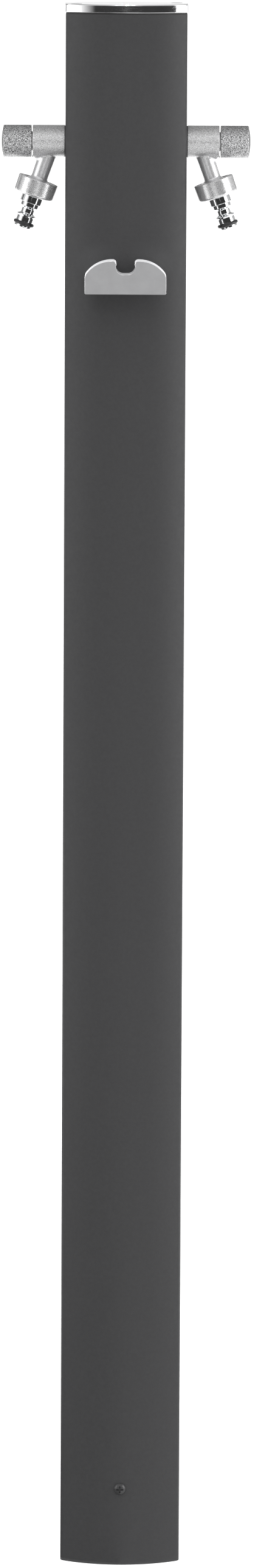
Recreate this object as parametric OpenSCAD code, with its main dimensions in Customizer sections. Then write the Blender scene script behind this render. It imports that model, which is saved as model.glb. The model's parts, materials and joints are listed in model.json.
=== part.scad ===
// Garden standpipe: a slim extruded post with a quarter-turn tap on each side, a hose hook on the
// front and a hidden riser inside. Millimetres, +Z up, the front faces -Y.
// The origin lies on the ground, midway between the two anchor holes.

/* [Post] */
// Height of the extruded post
post_height = 1194; // [900:1:1400]
// Width of the post across its flat sides
post_width = 92; // [90:1:120]
// Depth of the post from front to back
post_depth = 62; // [60:1:80]
// How far the curved front and back stand out past the edges of the flat sides
post_crown = 15; // [10:0.5:16]
// Radius of the four long edges
post_edge_r = 5; // [4:0.5:7]
// Wall thickness of the extrusion
post_wall = 2.5; // [2:0.1:3.5]

/* [Cap] */
// Thickness of the metal cap
cap_thick = 6.2; // [4:0.1:8]
// How far the cap stands out past the post all round
cap_overhang = 0.4; // [0:0.1:1.5]
// Chamfer along the cap's edges
cap_chamfer = 0.8; // [0.5:0.1:1.5]
// Thickness of the plug's flange, the dark line under the cap
plug_flange = 1; // [0.6:0.1:2]
// How far the flange stays inside the post's outline
plug_inset = 0.6; // [0.2:0.1:1]
// Depth of the plug's skirt inside the post
plug_depth = 14; // [10:1:25]
// Wall of the plug's skirt
plug_wall = 2.2; // [1.5:0.1:3]
// Distance of the two cap screws in from the post's flat sides
cap_screw_in = 8; // [7.5:0.1:14]
// Distance of the cap screws before and behind the post's middle
cap_screw_y = 10; // [4:0.5:12]

/* [Taps] */
// Drop of the tap axis below the top of the post
tap_drop = 97; // [70:1:200]
// Diameter of the tap bodies and knobs
tap_d = 24.5; // [24:0.1:27]
// Length of each tap body outside its gasket
tap_body_len = 24.3; // [22:0.1:32]
// Thickness of the gasket between tap and post
gasket_t = 0.5; // [0.4:0.1:2]
// Length of each knob
knob_len = 22.5; // [19:0.1:30]
// Gap between tap body and knob
knob_gap = 1; // [0.5:0.1:2]
// Rise of the knob's domed end
knob_dome = 1.5; // [0.5:0.1:2.5]
// Width of the neck seen in the gap between tap body and knob
neck_d = 14.6; // [13:0.1:16]
// Thickness of the nut behind the post's wall
locknut_t = 5; // [4:0.5:7]
// Width across flats of the nut behind the post's wall
locknut_af = 24.5; // [23.5:0.1:24.8]

/* [Spouts] */
// Lean of each spout away from the post in degrees
spout_tilt = 19; // [15:1:27]
// Distance from the post's side to where the spout's axis meets the tap's axis
spout_reach = 10.1; // [9.8:0.1:12]
// Diameter of the spout above its shoulder
spout_d = 12.2; // [11.5:0.1:14]
// Distance along the spout from the tap's axis to its shoulder
spout_drop = 31.4; // [29:0.1:45]
// Diameter of the union nut at its top
union_d = 30.5; // [30:0.1:33]
// Diameter of the union nut at its bottom
union_low_d = 29.2; // [28.6:0.1:29.8]
// Length of the union nut
union_len = 13; // [12.5:0.1:18]
// Diameter of the hose nipple's collar
collar_d = 16.3; // [16.1:0.1:17]
// Length of the hose nipple's collar
collar_len = 5.6; // [4:0.1:8]
// Outside diameter of the nipple's sealing ring
oring_d = 16; // [15.6:0.1:16]
// Section diameter of the nipple's sealing ring
oring_section = 2.6; // [2.2:0.1:2.8]
// Length of the nipple from the union nut to its tip
nipple_len = 25; // [24.6:0.1:27]

/* [Hook] */
// Drop of the hook's bolt below the top of the post
hook_drop = 201.5; // [180:0.5:400]
// Width of the hook block
hook_w = 61.4; // [56:0.2:70]
// Height of the hook block
hook_h = 25.2; // [23:0.2:32]
// Depth of the hook block from front to back
hook_t = 20; // [14:0.5:30]
// Gap between the hook block and the post, filled by the spacer
hook_standoff = 3; // [2:0.5:8]
// Width of the slot across the hook block
slot_w = 14; // [10:0.2:17]
// Height of the slot's floor above the bottom of the block
slot_floor = 14.8; // [14:0.1:17]
// Radius of the two rounded lobes
lobe_r = 24.5; // [23:0.5:28]
// Diameter of the spacer behind the block
spacer_d = 12; // [11:0.5:14]
// Height of the bolt's axis above the bottom of the block
bolt_rise = 7.5; // [7:0.1:7.5]

/* [Base] */
// Height of the two visible screws above the ground
base_screw_z = 60; // [40:1:68]
// Head diameter of the two visible screws
base_screw_head = 9.2; // [8.5:0.1:10]
// Thickness of the foot's plate
base_plate_t = 6; // [4:0.5:10]
// Height of the foot's front and rear tongues
tongue_h = 104; // [98:1:140]
// Width of the foot's tongues
tongue_w = 30; // [24:1:40]
// Thickness of the foot's tongues
tongue_t = 4; // [3:0.5:6]
// Distance between the two anchor holes
anchor_pitch = 62; // [58:1:66]
// Diameter of the anchor holes
anchor_d = 11; // [9:0.5:12]
// Diameter of the opening for the supply pipe
entry_d = 34; // [30:1:38]

/* [Water way] */
// Outside diameter of the riser
riser_d = 16; // [15:0.1:16.6]
// Wall of the riser
riser_wall = 2; // [1.5:0.1:2.5]
// Height of the inlet coupling's open end above the ground
inlet_z = 30; // [20:1:34]
// Depth of the inlet's female thread
inlet_depth = 15; // [12:0.5:16]
// Radius of the inlet's female thread at its crests
inlet_r = 9.3; // [9:0.05:9.6]
// Height of the clip that holds the riser
clip_z = 88; // [84:1:90]

/* [Clearances] */
// Gap between the foot or the plug and the inside of the post
slide_gap = 0.3; // [0.1:0.05:0.5]
// Radial gap of screws and bolts in plain holes
hole_gap = 0.3; // [0.15:0.05:0.5]
// Radial gap of screws in threaded holes
thread_gap = 0.05; // [0.02:0.01:0.1]
// Radial gap of the turning spindle in its bearing
run_gap = 0.05; // [0.03:0.01:0.08]
// Gap between the two ceramic discs
disc_gap = 0.05; // [0.02:0.01:0.1]

/* [Hidden] */
$fn = 96;

// the post's outline: two large arcs, two flat sides, four rounded edges
half_w = post_width / 2;
crown_r = (half_w * half_w + post_crown * post_crown) / (2 * post_crown);
crown_y = crown_r - post_depth / 2;
edge_x = half_w - post_edge_r;
edge_y = sqrt(pow(crown_r - post_edge_r, 2) - edge_x * edge_x) - crown_y;
function arc_y(d, x) = sqrt(pow(crown_r - d, 2) - x * x) - crown_y;

// heights
tap_z = post_height - tap_drop;
hook_z = post_height - hook_drop;
cap_z = post_height + plug_flange;
cap_top = cap_z + cap_thick;

// threads, drawn as plain cylinders at their outside diameters
half_r = 10.45;
threequarter_r = 13.2;

// the cap screws, with 90 degree heads sunk a little under the cap's top
cap_screw_r = 2;
cap_head_h = 2.1;
cap_head_sink = 0.2;
cap_screw_short = 3;
cap_screw_left = plug_depth - cap_screw_short;
cap_socket_af = 2.5;
cap_socket_web = 0.4;
boss_wall = 3;
boss_r = cap_screw_r + boss_wall;
cap_screw_places = [[cap_screw_in - half_w, -cap_screw_y], [half_w - cap_screw_in, cap_screw_y]];

// the tap along its own axis, measured out from the post's side
tap_r = tap_d / 2;
body_end = gasket_t + tap_body_len;
knob_in = body_end + knob_gap;
knob_out = knob_in + knob_len;
swivel_grip = 12;
shank_end = -(post_wall + locknut_t + swivel_grip);
edge_break = 0.4;
way_r = 6;
seat_back = 5;
seat_u = gasket_t + seat_back;
seal_t = 1.5;
disc_t = 2.5;
disc_u = seat_u + seal_t;
rotor_u = disc_u + disc_t + disc_gap;
drive_u = rotor_u + disc_t;
drive_t = 4;
drive_w = 6;
bearing_u = drive_u + drive_t + disc_gap;
window_w = 7;
neck_reach = 7.2;
neck_end = knob_in + neck_reach;
neck_clear = 0.6;
spindle_reach = 7.5;
spindle_end = neck_end + spindle_reach;
end_clear = 0.3;
cart_gap = 0.1;
cart_bore_r = 9;
cart_r = cart_bore_r - cart_gap;
cart_in_r = 7.6;
disc_r = cart_in_r - cart_gap;
port_out_r = 5.6;
port_in_r = 1.6;
port_half = 33.7;
tang_w = 2.2;
tang_half = 6.4;
tang_depth = 1;
spindle_r = 4;
flat_z = 3;
groove_in = 3.5;
groove_u = bearing_u + groove_in;
groove_w = 1.2;
groove_depth = 1;
screw_in = 3.8;
screw_u = neck_end + screw_in;
knob_screw_r = 2;
knob_screw_sink = 1;
knob_socket_af = 2;
knob_socket_depth = 2;

// the spout along its own axis, measured from the tap's axis
spout_r = spout_d / 2;
spout_bore = 4.3;
root_u = 9;
root_flare = 1.9;
flare_end = 17.5;
flare_left = 0.5;
shoulder_fillet = 3;
nut_proud = 0.4;
nut_top = spout_drop - nut_proud;
nut_end = nut_top + union_len;
nut_round = 2.2;
flange_t = 1.5;
flange_clear = 0.6;
flange_r = threequarter_r - flange_clear;
lip_t = 2;
seal_in_nut = 1.5;
flange_end = nut_end - lip_t;
flange_u = flange_end - flange_t;
spout_end = flange_u - seal_in_nut;
collar_r = collar_d / 2;
collar_relief = 1;
collar_root = collar_r - collar_relief;
collar_gap = 0.3;
collar_u = nut_end + collar_gap;
collar_end = nut_end + collar_len;
step_r = 6.85;
step_len = 3;
step_end = collar_end + step_len;
neck_r = 4.9;
step_slope = 1.4;
neck_a = step_end + step_slope;
latch_len = 3.8;
neck_b = neck_a + latch_len;
ridge_r = 7.1;
ridge_rise = 1.3;
ridge_w = 0.5;
ridge_u = neck_b + ridge_rise + ridge_w;
guide_r = 6.5;
ridge_fall = 1;
guide_u = ridge_u + ridge_fall;
nipple_bore = 3.6;
nipple_end = nut_end + nipple_len;
tip_chamfer = 0.7;
oring_r = oring_section / 2;
oring_mid = oring_d / 2 - oring_r;
oring_gap = 0.1;
tip_len = 1.9;
oring_u = nipple_end - tip_len - oring_r;

// the compression joints at both ends of the riser
riser_r = riser_d / 2;
socket_gap = 0.1;
comp_len = 12;
comp_socket = 10;
olive_h = 4;
nut_wall = 4;
nut_len = 17;
comp_af = 25.5;
inlet_af = 27;
olive_gap = 0.02;
olive_land = 1;
olive_clear = 0.2;
tee_r = 11;
tee_half = 13;
tee_drop = 16;
tee_low = tap_z - tee_drop - comp_len;
inlet_web = 5;
inlet_hex = inlet_depth + inlet_web;
inlet_top = inlet_z + inlet_hex + comp_len;
riser_low = inlet_top - comp_socket;
riser_high = tee_low + comp_socket;

// the tee's arms and the swivel nuts, measured along X from the post's middle
washer_t = 1.5;
tail_end = half_w + shank_end - washer_t;
tail_r = 7.6;
tail_flange = 2;
tail_flange_r = 9.6;
swivel_lip = 2.5;
swivel_af = 24.5;
swivel_in = tail_end - tail_flange - swivel_lip;
swivel_gap = 1;
swivel_out = half_w - post_wall - locknut_t - swivel_gap;

// the hook
hook_back = -post_depth / 2 - hook_standoff;
hook_low = hook_z - bolt_rise;
hook_corner = 1;
hook_bolt_r = 3;
hook_bolt_af = 10;
hook_bolt_head = 4;
hook_bolt_grip = 10;
hook_washer_r = 6.5;
hook_washer_t = 1.6;
hook_seat = -arc_y(post_wall, hook_washer_r);
spigot_r = 5;
spigot_len = 2;
spigot_gap = 0.1;
apex_in = 3.2;
apex_x = slot_w / 2 + apex_in;
lobe_z = hook_h - lobe_r;
shoulder_r = 6;
shoulder_x = hook_w / 2 - shoulder_r;
shoulder_z = lobe_z + sqrt(pow(lobe_r - shoulder_r, 2) - pow(shoulder_x - apex_x, 2));
shoulder_tan = apex_x + (shoulder_x - apex_x) * lobe_r / (lobe_r - shoulder_r);
lip_r = 2.5;
slot_corner = 4.6;
slot_swell = 0.5;
slot_bulge = slot_w / 2 + slot_swell;

// the foot
foot_d = post_wall + slide_gap;
base_screw_r = 2.5;
base_screw_past = 3.2;
base_screw_len = foot_d + tongue_t + base_screw_past;
base_head_h = 3;
base_dome = 1.2;
recess_len = 0.58;
recess_w = 1.2;
recess_depth = 1.9;

// the clip behind the riser
clip_w = 12;
clip_half = 7;
clip_wall = 2.6;
clip_mouth = 12;
clip_screw_r = 1.75;
clip_head_r = 3.4;
clip_head_h = 1;
clip_head_sink = 0.4;
clip_recess_w = 0.9;
clip_screw_len = arc_y(foot_d + tongue_t, 0) - riser_r + tongue_t - clip_head_sink;

// how far a cut runs past the surface that it opens
cut = 1;

// the smallest long edge that is still drawn round
least_edge = 0.4;

// how finely large arcs, small rounds and wire-thin rings are drawn
bow_fn = 240;
round_fn = 48;
wire_fn = 32;

// corner radius of a hexagon from its width across flats
function hex_r(af) = af / sqrt(3);

// outline of the post, moved in by d
module barrel(d) {
  if (d < post_edge_r - least_edge) {
    intersection() {
      translate([0, crown_y]) circle(r = crown_r - d, $fn = bow_fn);
      translate([0, -crown_y]) circle(r = crown_r - d, $fn = bow_fn);
      square([2 * edge_x * (crown_r - d) / (crown_r - post_edge_r), 2 * post_depth], center = true);
    }
    square([post_width - 2 * d, 2 * edge_y], center = true);
    for (sx = [-1, 1]) {
      for (sy = [-1, 1]) {
        translate([sx * edge_x, sy * edge_y]) circle(r = post_edge_r - d, $fn = round_fn);
      }
    }
  } else {
    intersection() {
      translate([0, crown_y]) circle(r = crown_r - d, $fn = bow_fn);
      translate([0, -crown_y]) circle(r = crown_r - d, $fn = bow_fn);
      square([post_width - 2 * d, 2 * post_depth], center = true);
    }
  }
}

// a turned shape along +X, given as [radius, distance] points
module turned(points) {
  rotate([0, 90, 0]) rotate_extrude() polygon(points);
}

// a round bar along +X
module rod(r, a, b) {
  translate([a, 0, 0]) rotate([0, 90, 0]) cylinder(r = r, h = b - a);
}

// a six-sided bar along +X with flats facing front and back
module hex_rod(af, a, b) {
  translate([a, 0, 0]) rotate([0, 90, 0]) cylinder(r = hex_r(af), h = b - a, $fn = 6);
}

// places one tap's frame on the left (-1) or the right (1) side of the post
module at_tap(side) {
  rotate([0, 0, side > 0 ? 0 : 180]) translate([half_w, 0, tap_z]) children();
}

// places the spout's frame, +Z running down along the spout
module at_spout(side) {
  at_tap(side) translate([spout_reach, 0, 0]) rotate([0, 180 - spout_tilt, 0]) children();
}

module post() {
  color([0.28, 0.28, 0.285]) difference() {
    linear_extrude(post_height) difference() {
      barrel(0);
      barrel(post_wall);
    }
    translate([0, 0, tap_z]) rod(half_r + hole_gap, -half_w - cut, half_w + cut);
    translate([0, 0, hook_z]) rotate([90, 0, 0]) cylinder(r = hook_bolt_r + hole_gap, h = post_depth);
    translate([0, post_depth, base_screw_z]) rotate([90, 0, 0])
      cylinder(r = base_screw_r + hole_gap, h = 2 * post_depth);
  }
}

module cap() {
  color([0.75, 0.75, 0.75]) difference() {
    hull() {
      translate([0, 0, cap_z]) linear_extrude(cap_thick) barrel(cap_chamfer - cap_overhang);
      translate([0, 0, cap_z + cap_chamfer]) linear_extrude(cap_thick - 2 * cap_chamfer)
        barrel(-cap_overhang);
    }
    for (p = cap_screw_places) {
      translate([p[0], p[1], cap_z - cut]) cylinder(r = cap_screw_r + hole_gap, h = cap_thick + 2 * cut);
      translate([p[0], p[1], cap_top - cap_head_h - cap_head_sink])
        cylinder(r1 = cap_screw_r + thread_gap, r2 = cap_screw_r + thread_gap + cap_head_h + cap_head_sink,
          h = cap_head_h + cap_head_sink);
    }
  }
}

module cap_plug() {
  color([0.06, 0.06, 0.06]) difference() {
    union() {
      translate([0, 0, post_height]) linear_extrude(plug_flange) barrel(plug_inset);
      translate([0, 0, post_height - plug_depth]) linear_extrude(plug_depth + plug_flange / 2) {
        difference() {
          barrel(post_wall + slide_gap);
          barrel(post_wall + slide_gap + plug_wall);
        }
        intersection() {
          for (p = cap_screw_places) {
            translate(p) circle(r = boss_r);
          }
          barrel(post_wall + slide_gap);
        }
      }
    }
    for (p = cap_screw_places) {
      translate([p[0], p[1], post_height - plug_depth - cut])
        cylinder(r = cap_screw_r + thread_gap, h = plug_depth + plug_flange + 2 * cut);
    }
  }
}

module cap_screws() {
  head_z = cap_top - cap_head_sink - cap_head_h;
  color([0.6, 0.6, 0.6]) for (p = cap_screw_places) {
    translate(p) difference() {
      union() {
        translate([0, 0, head_z]) cylinder(r1 = cap_screw_r, r2 = cap_screw_r + cap_head_h, h = cap_head_h);
        translate([0, 0, post_height - cap_screw_left])
          cylinder(r = cap_screw_r, h = head_z - post_height + cap_screw_left + cut);
      }
      translate([0, 0, head_z + cap_socket_web]) cylinder(r = hex_r(cap_socket_af), h = cap_head_h, $fn = 6);
    }
  }
}

// outline of the hook block, its bottom edge on y = 0
module hook_outline() {
  difference() {
    union() {
      translate([-hook_w / 2, hook_corner]) square([hook_w, shoulder_z - hook_corner]);
      translate([hook_corner - hook_w / 2, 0]) square([hook_w - 2 * hook_corner, 2 * hook_corner]);
      for (s = [-1, 1]) {
        translate([s * (hook_w / 2 - hook_corner), hook_corner]) circle(r = hook_corner, $fn = wire_fn);
        translate([s * shoulder_x, shoulder_z]) circle(r = shoulder_r);
      }
      intersection() {
        for (s = [-1, 1]) {
          translate([s * apex_x, lobe_z]) circle(r = lobe_r, $fn = bow_fn);
        }
        translate([-shoulder_tan, hook_corner]) square([2 * shoulder_tan, hook_h]);
      }
    }
    slot_outline();
  }
}

// the slot with its rounded floor and rounded mouth
module slot_outline() {
  translate([-slot_w / 2, slot_floor + slot_corner]) square([slot_w, hook_h]);
  translate([slot_corner - slot_bulge, slot_floor]) square([2 * (slot_bulge - slot_corner), 2 * slot_corner]);
  for (s = [-1, 1]) {
    translate([s * (slot_bulge - slot_corner), slot_floor + slot_corner]) circle(r = slot_corner);
    difference() {
      translate([s * (slot_w / 2 + lip_r / 2), hook_h]) square([lip_r, 2 * lip_r], center = true);
      translate([s * (slot_w / 2 + lip_r), hook_h - lip_r]) circle(r = lip_r);
    }
  }
}

module hook_block() {
  color([0.7, 0.7, 0.7]) difference() {
    translate([0, hook_back, hook_low]) rotate([90, 0, 0]) linear_extrude(hook_t) hook_outline();
    translate([0, hook_back + cut, hook_z]) rotate([90, 0, 0]) {
      cylinder(r = spigot_r + thread_gap, h = cut + spigot_len + spigot_gap);
      cylinder(r = hook_bolt_r + thread_gap, h = hook_bolt_grip + 2 * cut);
    }
  }
}

module hook_spacer() {
  color([0.65, 0.65, 0.65]) difference() {
    translate([0, cut - post_depth / 2, hook_z]) rotate([90, 0, 0]) {
      cylinder(d = spacer_d, h = hook_standoff + cut);
      cylinder(r = spigot_r, h = hook_standoff + spigot_len + cut);
    }
    translate([0, crown_y, hook_z - spacer_d]) cylinder(r = crown_r, h = 2 * spacer_d, $fn = bow_fn);
    translate([0, 0, hook_z]) rotate([90, 0, 0]) cylinder(r = hook_bolt_r + hole_gap, h = post_depth);
  }
}

module hook_bolt() {
  color([0.55, 0.55, 0.57]) translate([0, hook_seat + hook_washer_t, hook_z]) {
    rotate([-90, 0, 0]) cylinder(r = hex_r(hook_bolt_af), h = hook_bolt_head, $fn = 6);
    rotate([90, 0, 0])
      cylinder(r = hook_bolt_r, h = hook_washer_t + hook_seat - hook_back + hook_bolt_grip);
  }
}

module hook_washer() {
  color([0.6, 0.6, 0.62]) translate([0, hook_seat, hook_z]) rotate([-90, 0, 0]) difference() {
    cylinder(r = hook_washer_r, h = hook_washer_t);
    translate([0, 0, -cut]) cylinder(r = hook_bolt_r + hole_gap, h = hook_washer_t + 2 * cut);
  }
}

module base_bracket() {
  color([0.45, 0.46, 0.48]) difference() {
    union() {
      linear_extrude(base_plate_t) barrel(foot_d);
      for (a = [0, 180]) {
        rotate([0, 0, a]) linear_extrude(tongue_h) intersection() {
          difference() {
            translate([0, crown_y]) circle(r = crown_r - foot_d, $fn = bow_fn);
            translate([0, crown_y]) circle(r = crown_r - foot_d - tongue_t, $fn = bow_fn);
          }
          translate([-tongue_w / 2, -post_depth]) square([tongue_w, post_depth]);
        }
      }
    }
    translate([0, 0, -cut]) cylinder(d = entry_d, h = base_plate_t + 2 * cut);
    for (s = [-1, 1]) {
      translate([s * anchor_pitch / 2, 0, -cut]) cylinder(d = anchor_d, h = base_plate_t + 2 * cut);
    }
    translate([0, post_depth, base_screw_z]) rotate([90, 0, 0])
      cylinder(r = base_screw_r + thread_gap, h = 2 * post_depth);
    translate([0, 0, clip_z]) rotate([-90, 0, 0]) cylinder(r = clip_screw_r + thread_gap, h = post_depth);
  }
}

module base_screws() {
  head_r = base_screw_head / 2;
  color([0.26, 0.26, 0.265]) for (a = [0, 180]) {
    rotate([0, 0, a]) translate([0, -post_depth / 2, base_screw_z]) rotate([90, 0, 0]) difference() {
      union() {
        rotate_extrude() intersection() {
          square([head_r, base_head_h]);
          translate([0, base_head_h - base_dome * head_r]) circle(r = base_dome * head_r);
        }
        translate([0, 0, -base_screw_len]) cylinder(r = base_screw_r, h = base_screw_len + cut);
      }
      for (b = [0, 90]) {
        translate([0, 0, base_head_h]) rotate([0, 0, b])
          cube([recess_len * base_screw_head, recess_w, 2 * recess_depth], center = true);
      }
    }
  }
}

module riser_pipe() {
  color([0.85, 0.85, 0.82]) translate([0, 0, riser_low]) difference() {
    cylinder(r = riser_r, h = riser_high - riser_low);
    translate([0, 0, -cut]) cylinder(r = riser_r - riser_wall, h = riser_high - riser_low + 2 * cut);
  }
}

module inlet_coupling() {
  color([0.78, 0.62, 0.3]) difference() {
    union() {
      translate([0, 0, inlet_z]) cylinder(r = hex_r(inlet_af), h = inlet_hex, $fn = 6);
      translate([0, 0, inlet_z + inlet_hex - cut]) cylinder(r = half_r, h = comp_len + cut);
    }
    translate([0, 0, inlet_z - cut]) cylinder(r = inlet_r, h = inlet_depth + cut);
    translate([0, 0, inlet_z]) cylinder(r = riser_r - riser_wall, h = inlet_hex + comp_len);
    translate([0, 0, riser_low]) cylinder(r = riser_r + socket_gap, h = comp_socket + cut);
  }
}

// a compression nut along +Z, its open end at 0
module compression_nut() {
  difference() {
    cylinder(r = hex_r(comp_af), h = nut_len, $fn = 6);
    translate([0, 0, -cut]) cylinder(r = half_r + thread_gap, h = nut_len - nut_wall + cut);
    translate([0, 0, -cut]) cylinder(r = riser_r + socket_gap, h = nut_len + 2 * cut);
  }
}

module inlet_nut() {
  color([0.75, 0.6, 0.3]) translate([0, 0, inlet_top + olive_h + nut_wall - nut_len]) compression_nut();
}

module tee() {
  color([0.78, 0.62, 0.3]) difference() {
    union() {
      translate([0, 0, tap_z]) rod(tee_r, -tee_half, tee_half);
      translate([0, 0, tap_z]) rod(tail_r, -tail_end, tail_end);
      for (a = [0, 180]) {
        rotate([0, 0, a]) translate([0, 0, tap_z]) rod(tail_flange_r, tail_end - tail_flange, tail_end);
      }
      translate([0, 0, tap_z - tee_drop]) cylinder(r = tee_r, h = tee_drop);
      translate([0, 0, tee_low]) cylinder(r = half_r, h = comp_len + cut);
    }
    translate([0, 0, tap_z]) rod(way_r, -tail_end - cut, tail_end + cut);
    translate([0, 0, tee_low - cut]) cylinder(r = riser_r - riser_wall, h = tap_z - tee_low + cut);
    translate([0, 0, tee_low - cut]) cylinder(r = riser_r + socket_gap, h = comp_socket + cut);
  }
}

module tee_nut() {
  color([0.75, 0.6, 0.3]) translate([0, 0, tee_low - olive_h - nut_wall + nut_len]) rotate([180, 0, 0])
    compression_nut();
}

module pipe_olives() {
  in_r = riser_r + olive_gap;
  out_r = half_r - olive_clear;
  color([0.72, 0.58, 0.3]) for (z = [inlet_top, tee_low - olive_h]) {
    translate([0, 0, z]) rotate_extrude() polygon([
      [in_r, 0], [out_r - olive_land, 0], [out_r, olive_land], [out_r, olive_h - olive_land],
      [out_r - olive_land, olive_h], [in_r, olive_h]
    ]);
  }
}

module swivel_nuts() {
  color([0.75, 0.6, 0.3]) for (a = [0, 180]) {
    rotate([0, 0, a]) translate([0, 0, tap_z]) difference() {
      hex_rod(swivel_af, swivel_in, swivel_out);
      rod(half_r + thread_gap, swivel_in + swivel_lip, swivel_out + cut);
      rod(tail_r + hole_gap, swivel_in - cut, swivel_out);
    }
  }
}

module swivel_washers() {
  color([0.12, 0.12, 0.12]) for (a = [0, 180]) {
    rotate([0, 0, a]) translate([tail_end, 0, tap_z]) difference() {
      rod(tail_flange_r, 0, washer_t);
      rod(way_r, -cut, washer_t + cut);
    }
  }
}

module pipe_clip() {
  color([0.4, 0.4, 0.42]) translate([0, 0, clip_z - clip_w / 2]) difference() {
    linear_extrude(clip_w) difference() {
      union() {
        circle(r = riser_r + clip_wall);
        intersection() {
          translate([-clip_half, 0]) square([2 * clip_half, post_depth]);
          translate([0, -crown_y]) circle(r = crown_r - foot_d - tongue_t, $fn = bow_fn);
        }
      }
      circle(r = riser_r);
      translate([-clip_mouth / 2, -2 * riser_r]) square([clip_mouth, 2 * riser_r]);
    }
    translate([0, 0, clip_w / 2]) rotate([-90, 0, 0]) cylinder(r = clip_screw_r + hole_gap, h = post_depth);
    translate([0, 0, clip_w / 2]) rotate([-90, 0, 0])
      cylinder(r = clip_head_r + hole_gap, h = riser_r + clip_head_sink + clip_head_h);
  }
}

module clip_screw() {
  color([0.6, 0.6, 0.62]) translate([0, riser_r, clip_z]) rotate([-90, 0, 0]) difference() {
    translate([0, 0, clip_head_sink]) {
      cylinder(r = clip_head_r, h = clip_head_h);
      cylinder(r = clip_screw_r, h = clip_screw_len);
    }
    for (b = [0, 90]) {
      translate([0, 0, clip_head_sink]) rotate([0, 0, b])
        cube([clip_head_r, clip_recess_w, clip_head_h], center = true);
    }
  }
}

module tap_body(side) {
  color([0.68, 0.68, 0.68]) difference() {
    union() {
      at_tap(side) turned([
        [0, gasket_t], [tap_r, gasket_t], [tap_r, body_end - edge_break], [tap_r - edge_break, body_end],
        [0, body_end]
      ]);
      at_tap(side) rod(half_r, shank_end, gasket_t + cut);
      at_spout(side) rotate_extrude() union() {
        polygon([
          [0, root_u], [spout_r + root_flare, root_u], [spout_r + flare_left, flare_end],
          [spout_r, spout_drop - shoulder_fillet], [spout_r, spout_drop + cut], [0, spout_drop + cut]
        ]);
        difference() {
          translate([spout_r - cut, spout_drop - shoulder_fillet]) square(shoulder_fillet + cut);
          translate([spout_r + shoulder_fillet, spout_drop - shoulder_fillet])
            circle(r = shoulder_fillet, $fn = round_fn);
        }
        translate([0, spout_drop]) square([threequarter_r, spout_end - spout_drop]);
      }
    }
    at_tap(side) rod(way_r, shank_end - cut, seat_u + cut);
    at_tap(side) rod(cart_bore_r, seat_u, body_end + cut);
    at_spout(side) translate([0, 0, way_r]) cylinder(r = spout_bore, h = spout_end);
  }
}

module tap_gasket(side) {
  color([0.08, 0.08, 0.08]) at_tap(side) difference() {
    rod(tap_r - edge_break, 0, gasket_t);
    rod(half_r + hole_gap, -cut, gasket_t + cut);
  }
}

module tap_locknut(side) {
  color([0.75, 0.6, 0.3]) at_tap(side) difference() {
    hex_rod(locknut_af, -post_wall - locknut_t, -post_wall);
    rod(half_r + thread_gap, -post_wall - locknut_t - cut, 0);
  }
}

module cartridge(side) {
  color([0.68, 0.68, 0.68]) at_tap(side) difference() {
    union() {
      rod(cart_r, disc_u, body_end);
      rod(neck_d / 2, disc_u, neck_end);
    }
    rod(cart_in_r, disc_u - cut, bearing_u);
    rod(spindle_r + run_gap, disc_u, neck_end + cut);
    translate([drive_u, -window_w / 2, -2 * cart_r]) cube([drive_t, window_w, 4 * cart_r]);
  }
}

// the two openings of a ceramic disc, a quarter apart from its solid parts
module disc_windows(a, b) {
  reach = 2 * port_out_r;
  rise = reach * tan(port_half);
  for (t = [-1, 1]) {
    translate([a, 0, 0]) rotate([0, 90, 0]) linear_extrude(b - a) intersection() {
      difference() {
        circle(r = port_out_r);
        circle(r = port_in_r);
      }
      polygon([[0, 0], [t * reach, -rise], [t * reach, rise]]);
    }
  }
}

module seat_disc(side) {
  color([0.9, 0.9, 0.88]) at_tap(side) difference() {
    rod(disc_r, disc_u, disc_u + disc_t);
    disc_windows(disc_u - cut, disc_u + disc_t + cut);
  }
}

module seat_seal(side) {
  color([0.1, 0.1, 0.1]) at_tap(side) difference() {
    rod(cart_r, seat_u, seat_u + seal_t);
    rod(way_r, seat_u - cut, seat_u + seal_t + cut);
  }
}

module rotor_disc(side) {
  color([0.9, 0.9, 0.88]) at_tap(side) difference() {
    rod(disc_r - cart_gap, rotor_u, rotor_u + disc_t);
    rotate([90, 0, 0]) disc_windows(rotor_u - cut, rotor_u + disc_t + cut);
    translate([drive_u - tang_depth - cart_gap, -tang_half - cart_gap, -tang_w / 2 - cart_gap])
      cube([tang_depth + cut, 2 * (tang_half + cart_gap), tang_w + 2 * cart_gap]);
  }
}

module spindle(side) {
  color([0.76, 0.62, 0.33]) at_tap(side) difference() {
    union() {
      rod(spindle_r, drive_u, spindle_end);
      intersection() {
        rod(disc_r - cart_gap, drive_u, drive_u + drive_t);
        translate([drive_u, -2 * cart_r, -drive_w / 2]) cube([drive_t, 4 * cart_r, drive_w]);
      }
      translate([drive_u - tang_depth, -tang_half, -tang_w / 2])
        cube([tang_depth + cut, 2 * tang_half, tang_w]);
    }
    difference() {
      rod(spindle_r + cut, groove_u, groove_u + groove_w);
      rod(spindle_r - groove_depth, groove_u - cut, groove_u + groove_w + cut);
    }
    translate([neck_end + end_clear, -spindle_r, -spindle_r - flat_z])
      cube([spindle_end, 2 * spindle_r, spindle_r]);
  }
}

module spindle_seal(side) {
  color([0.08, 0.08, 0.08]) at_tap(side) translate([groove_u + groove_w / 2, 0, 0]) rotate([0, 90, 0])
    rotate_extrude() translate([spindle_r - groove_depth / 2, 0])
      circle(r = groove_depth / 2 - olive_gap, $fn = wire_fn);
}

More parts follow.
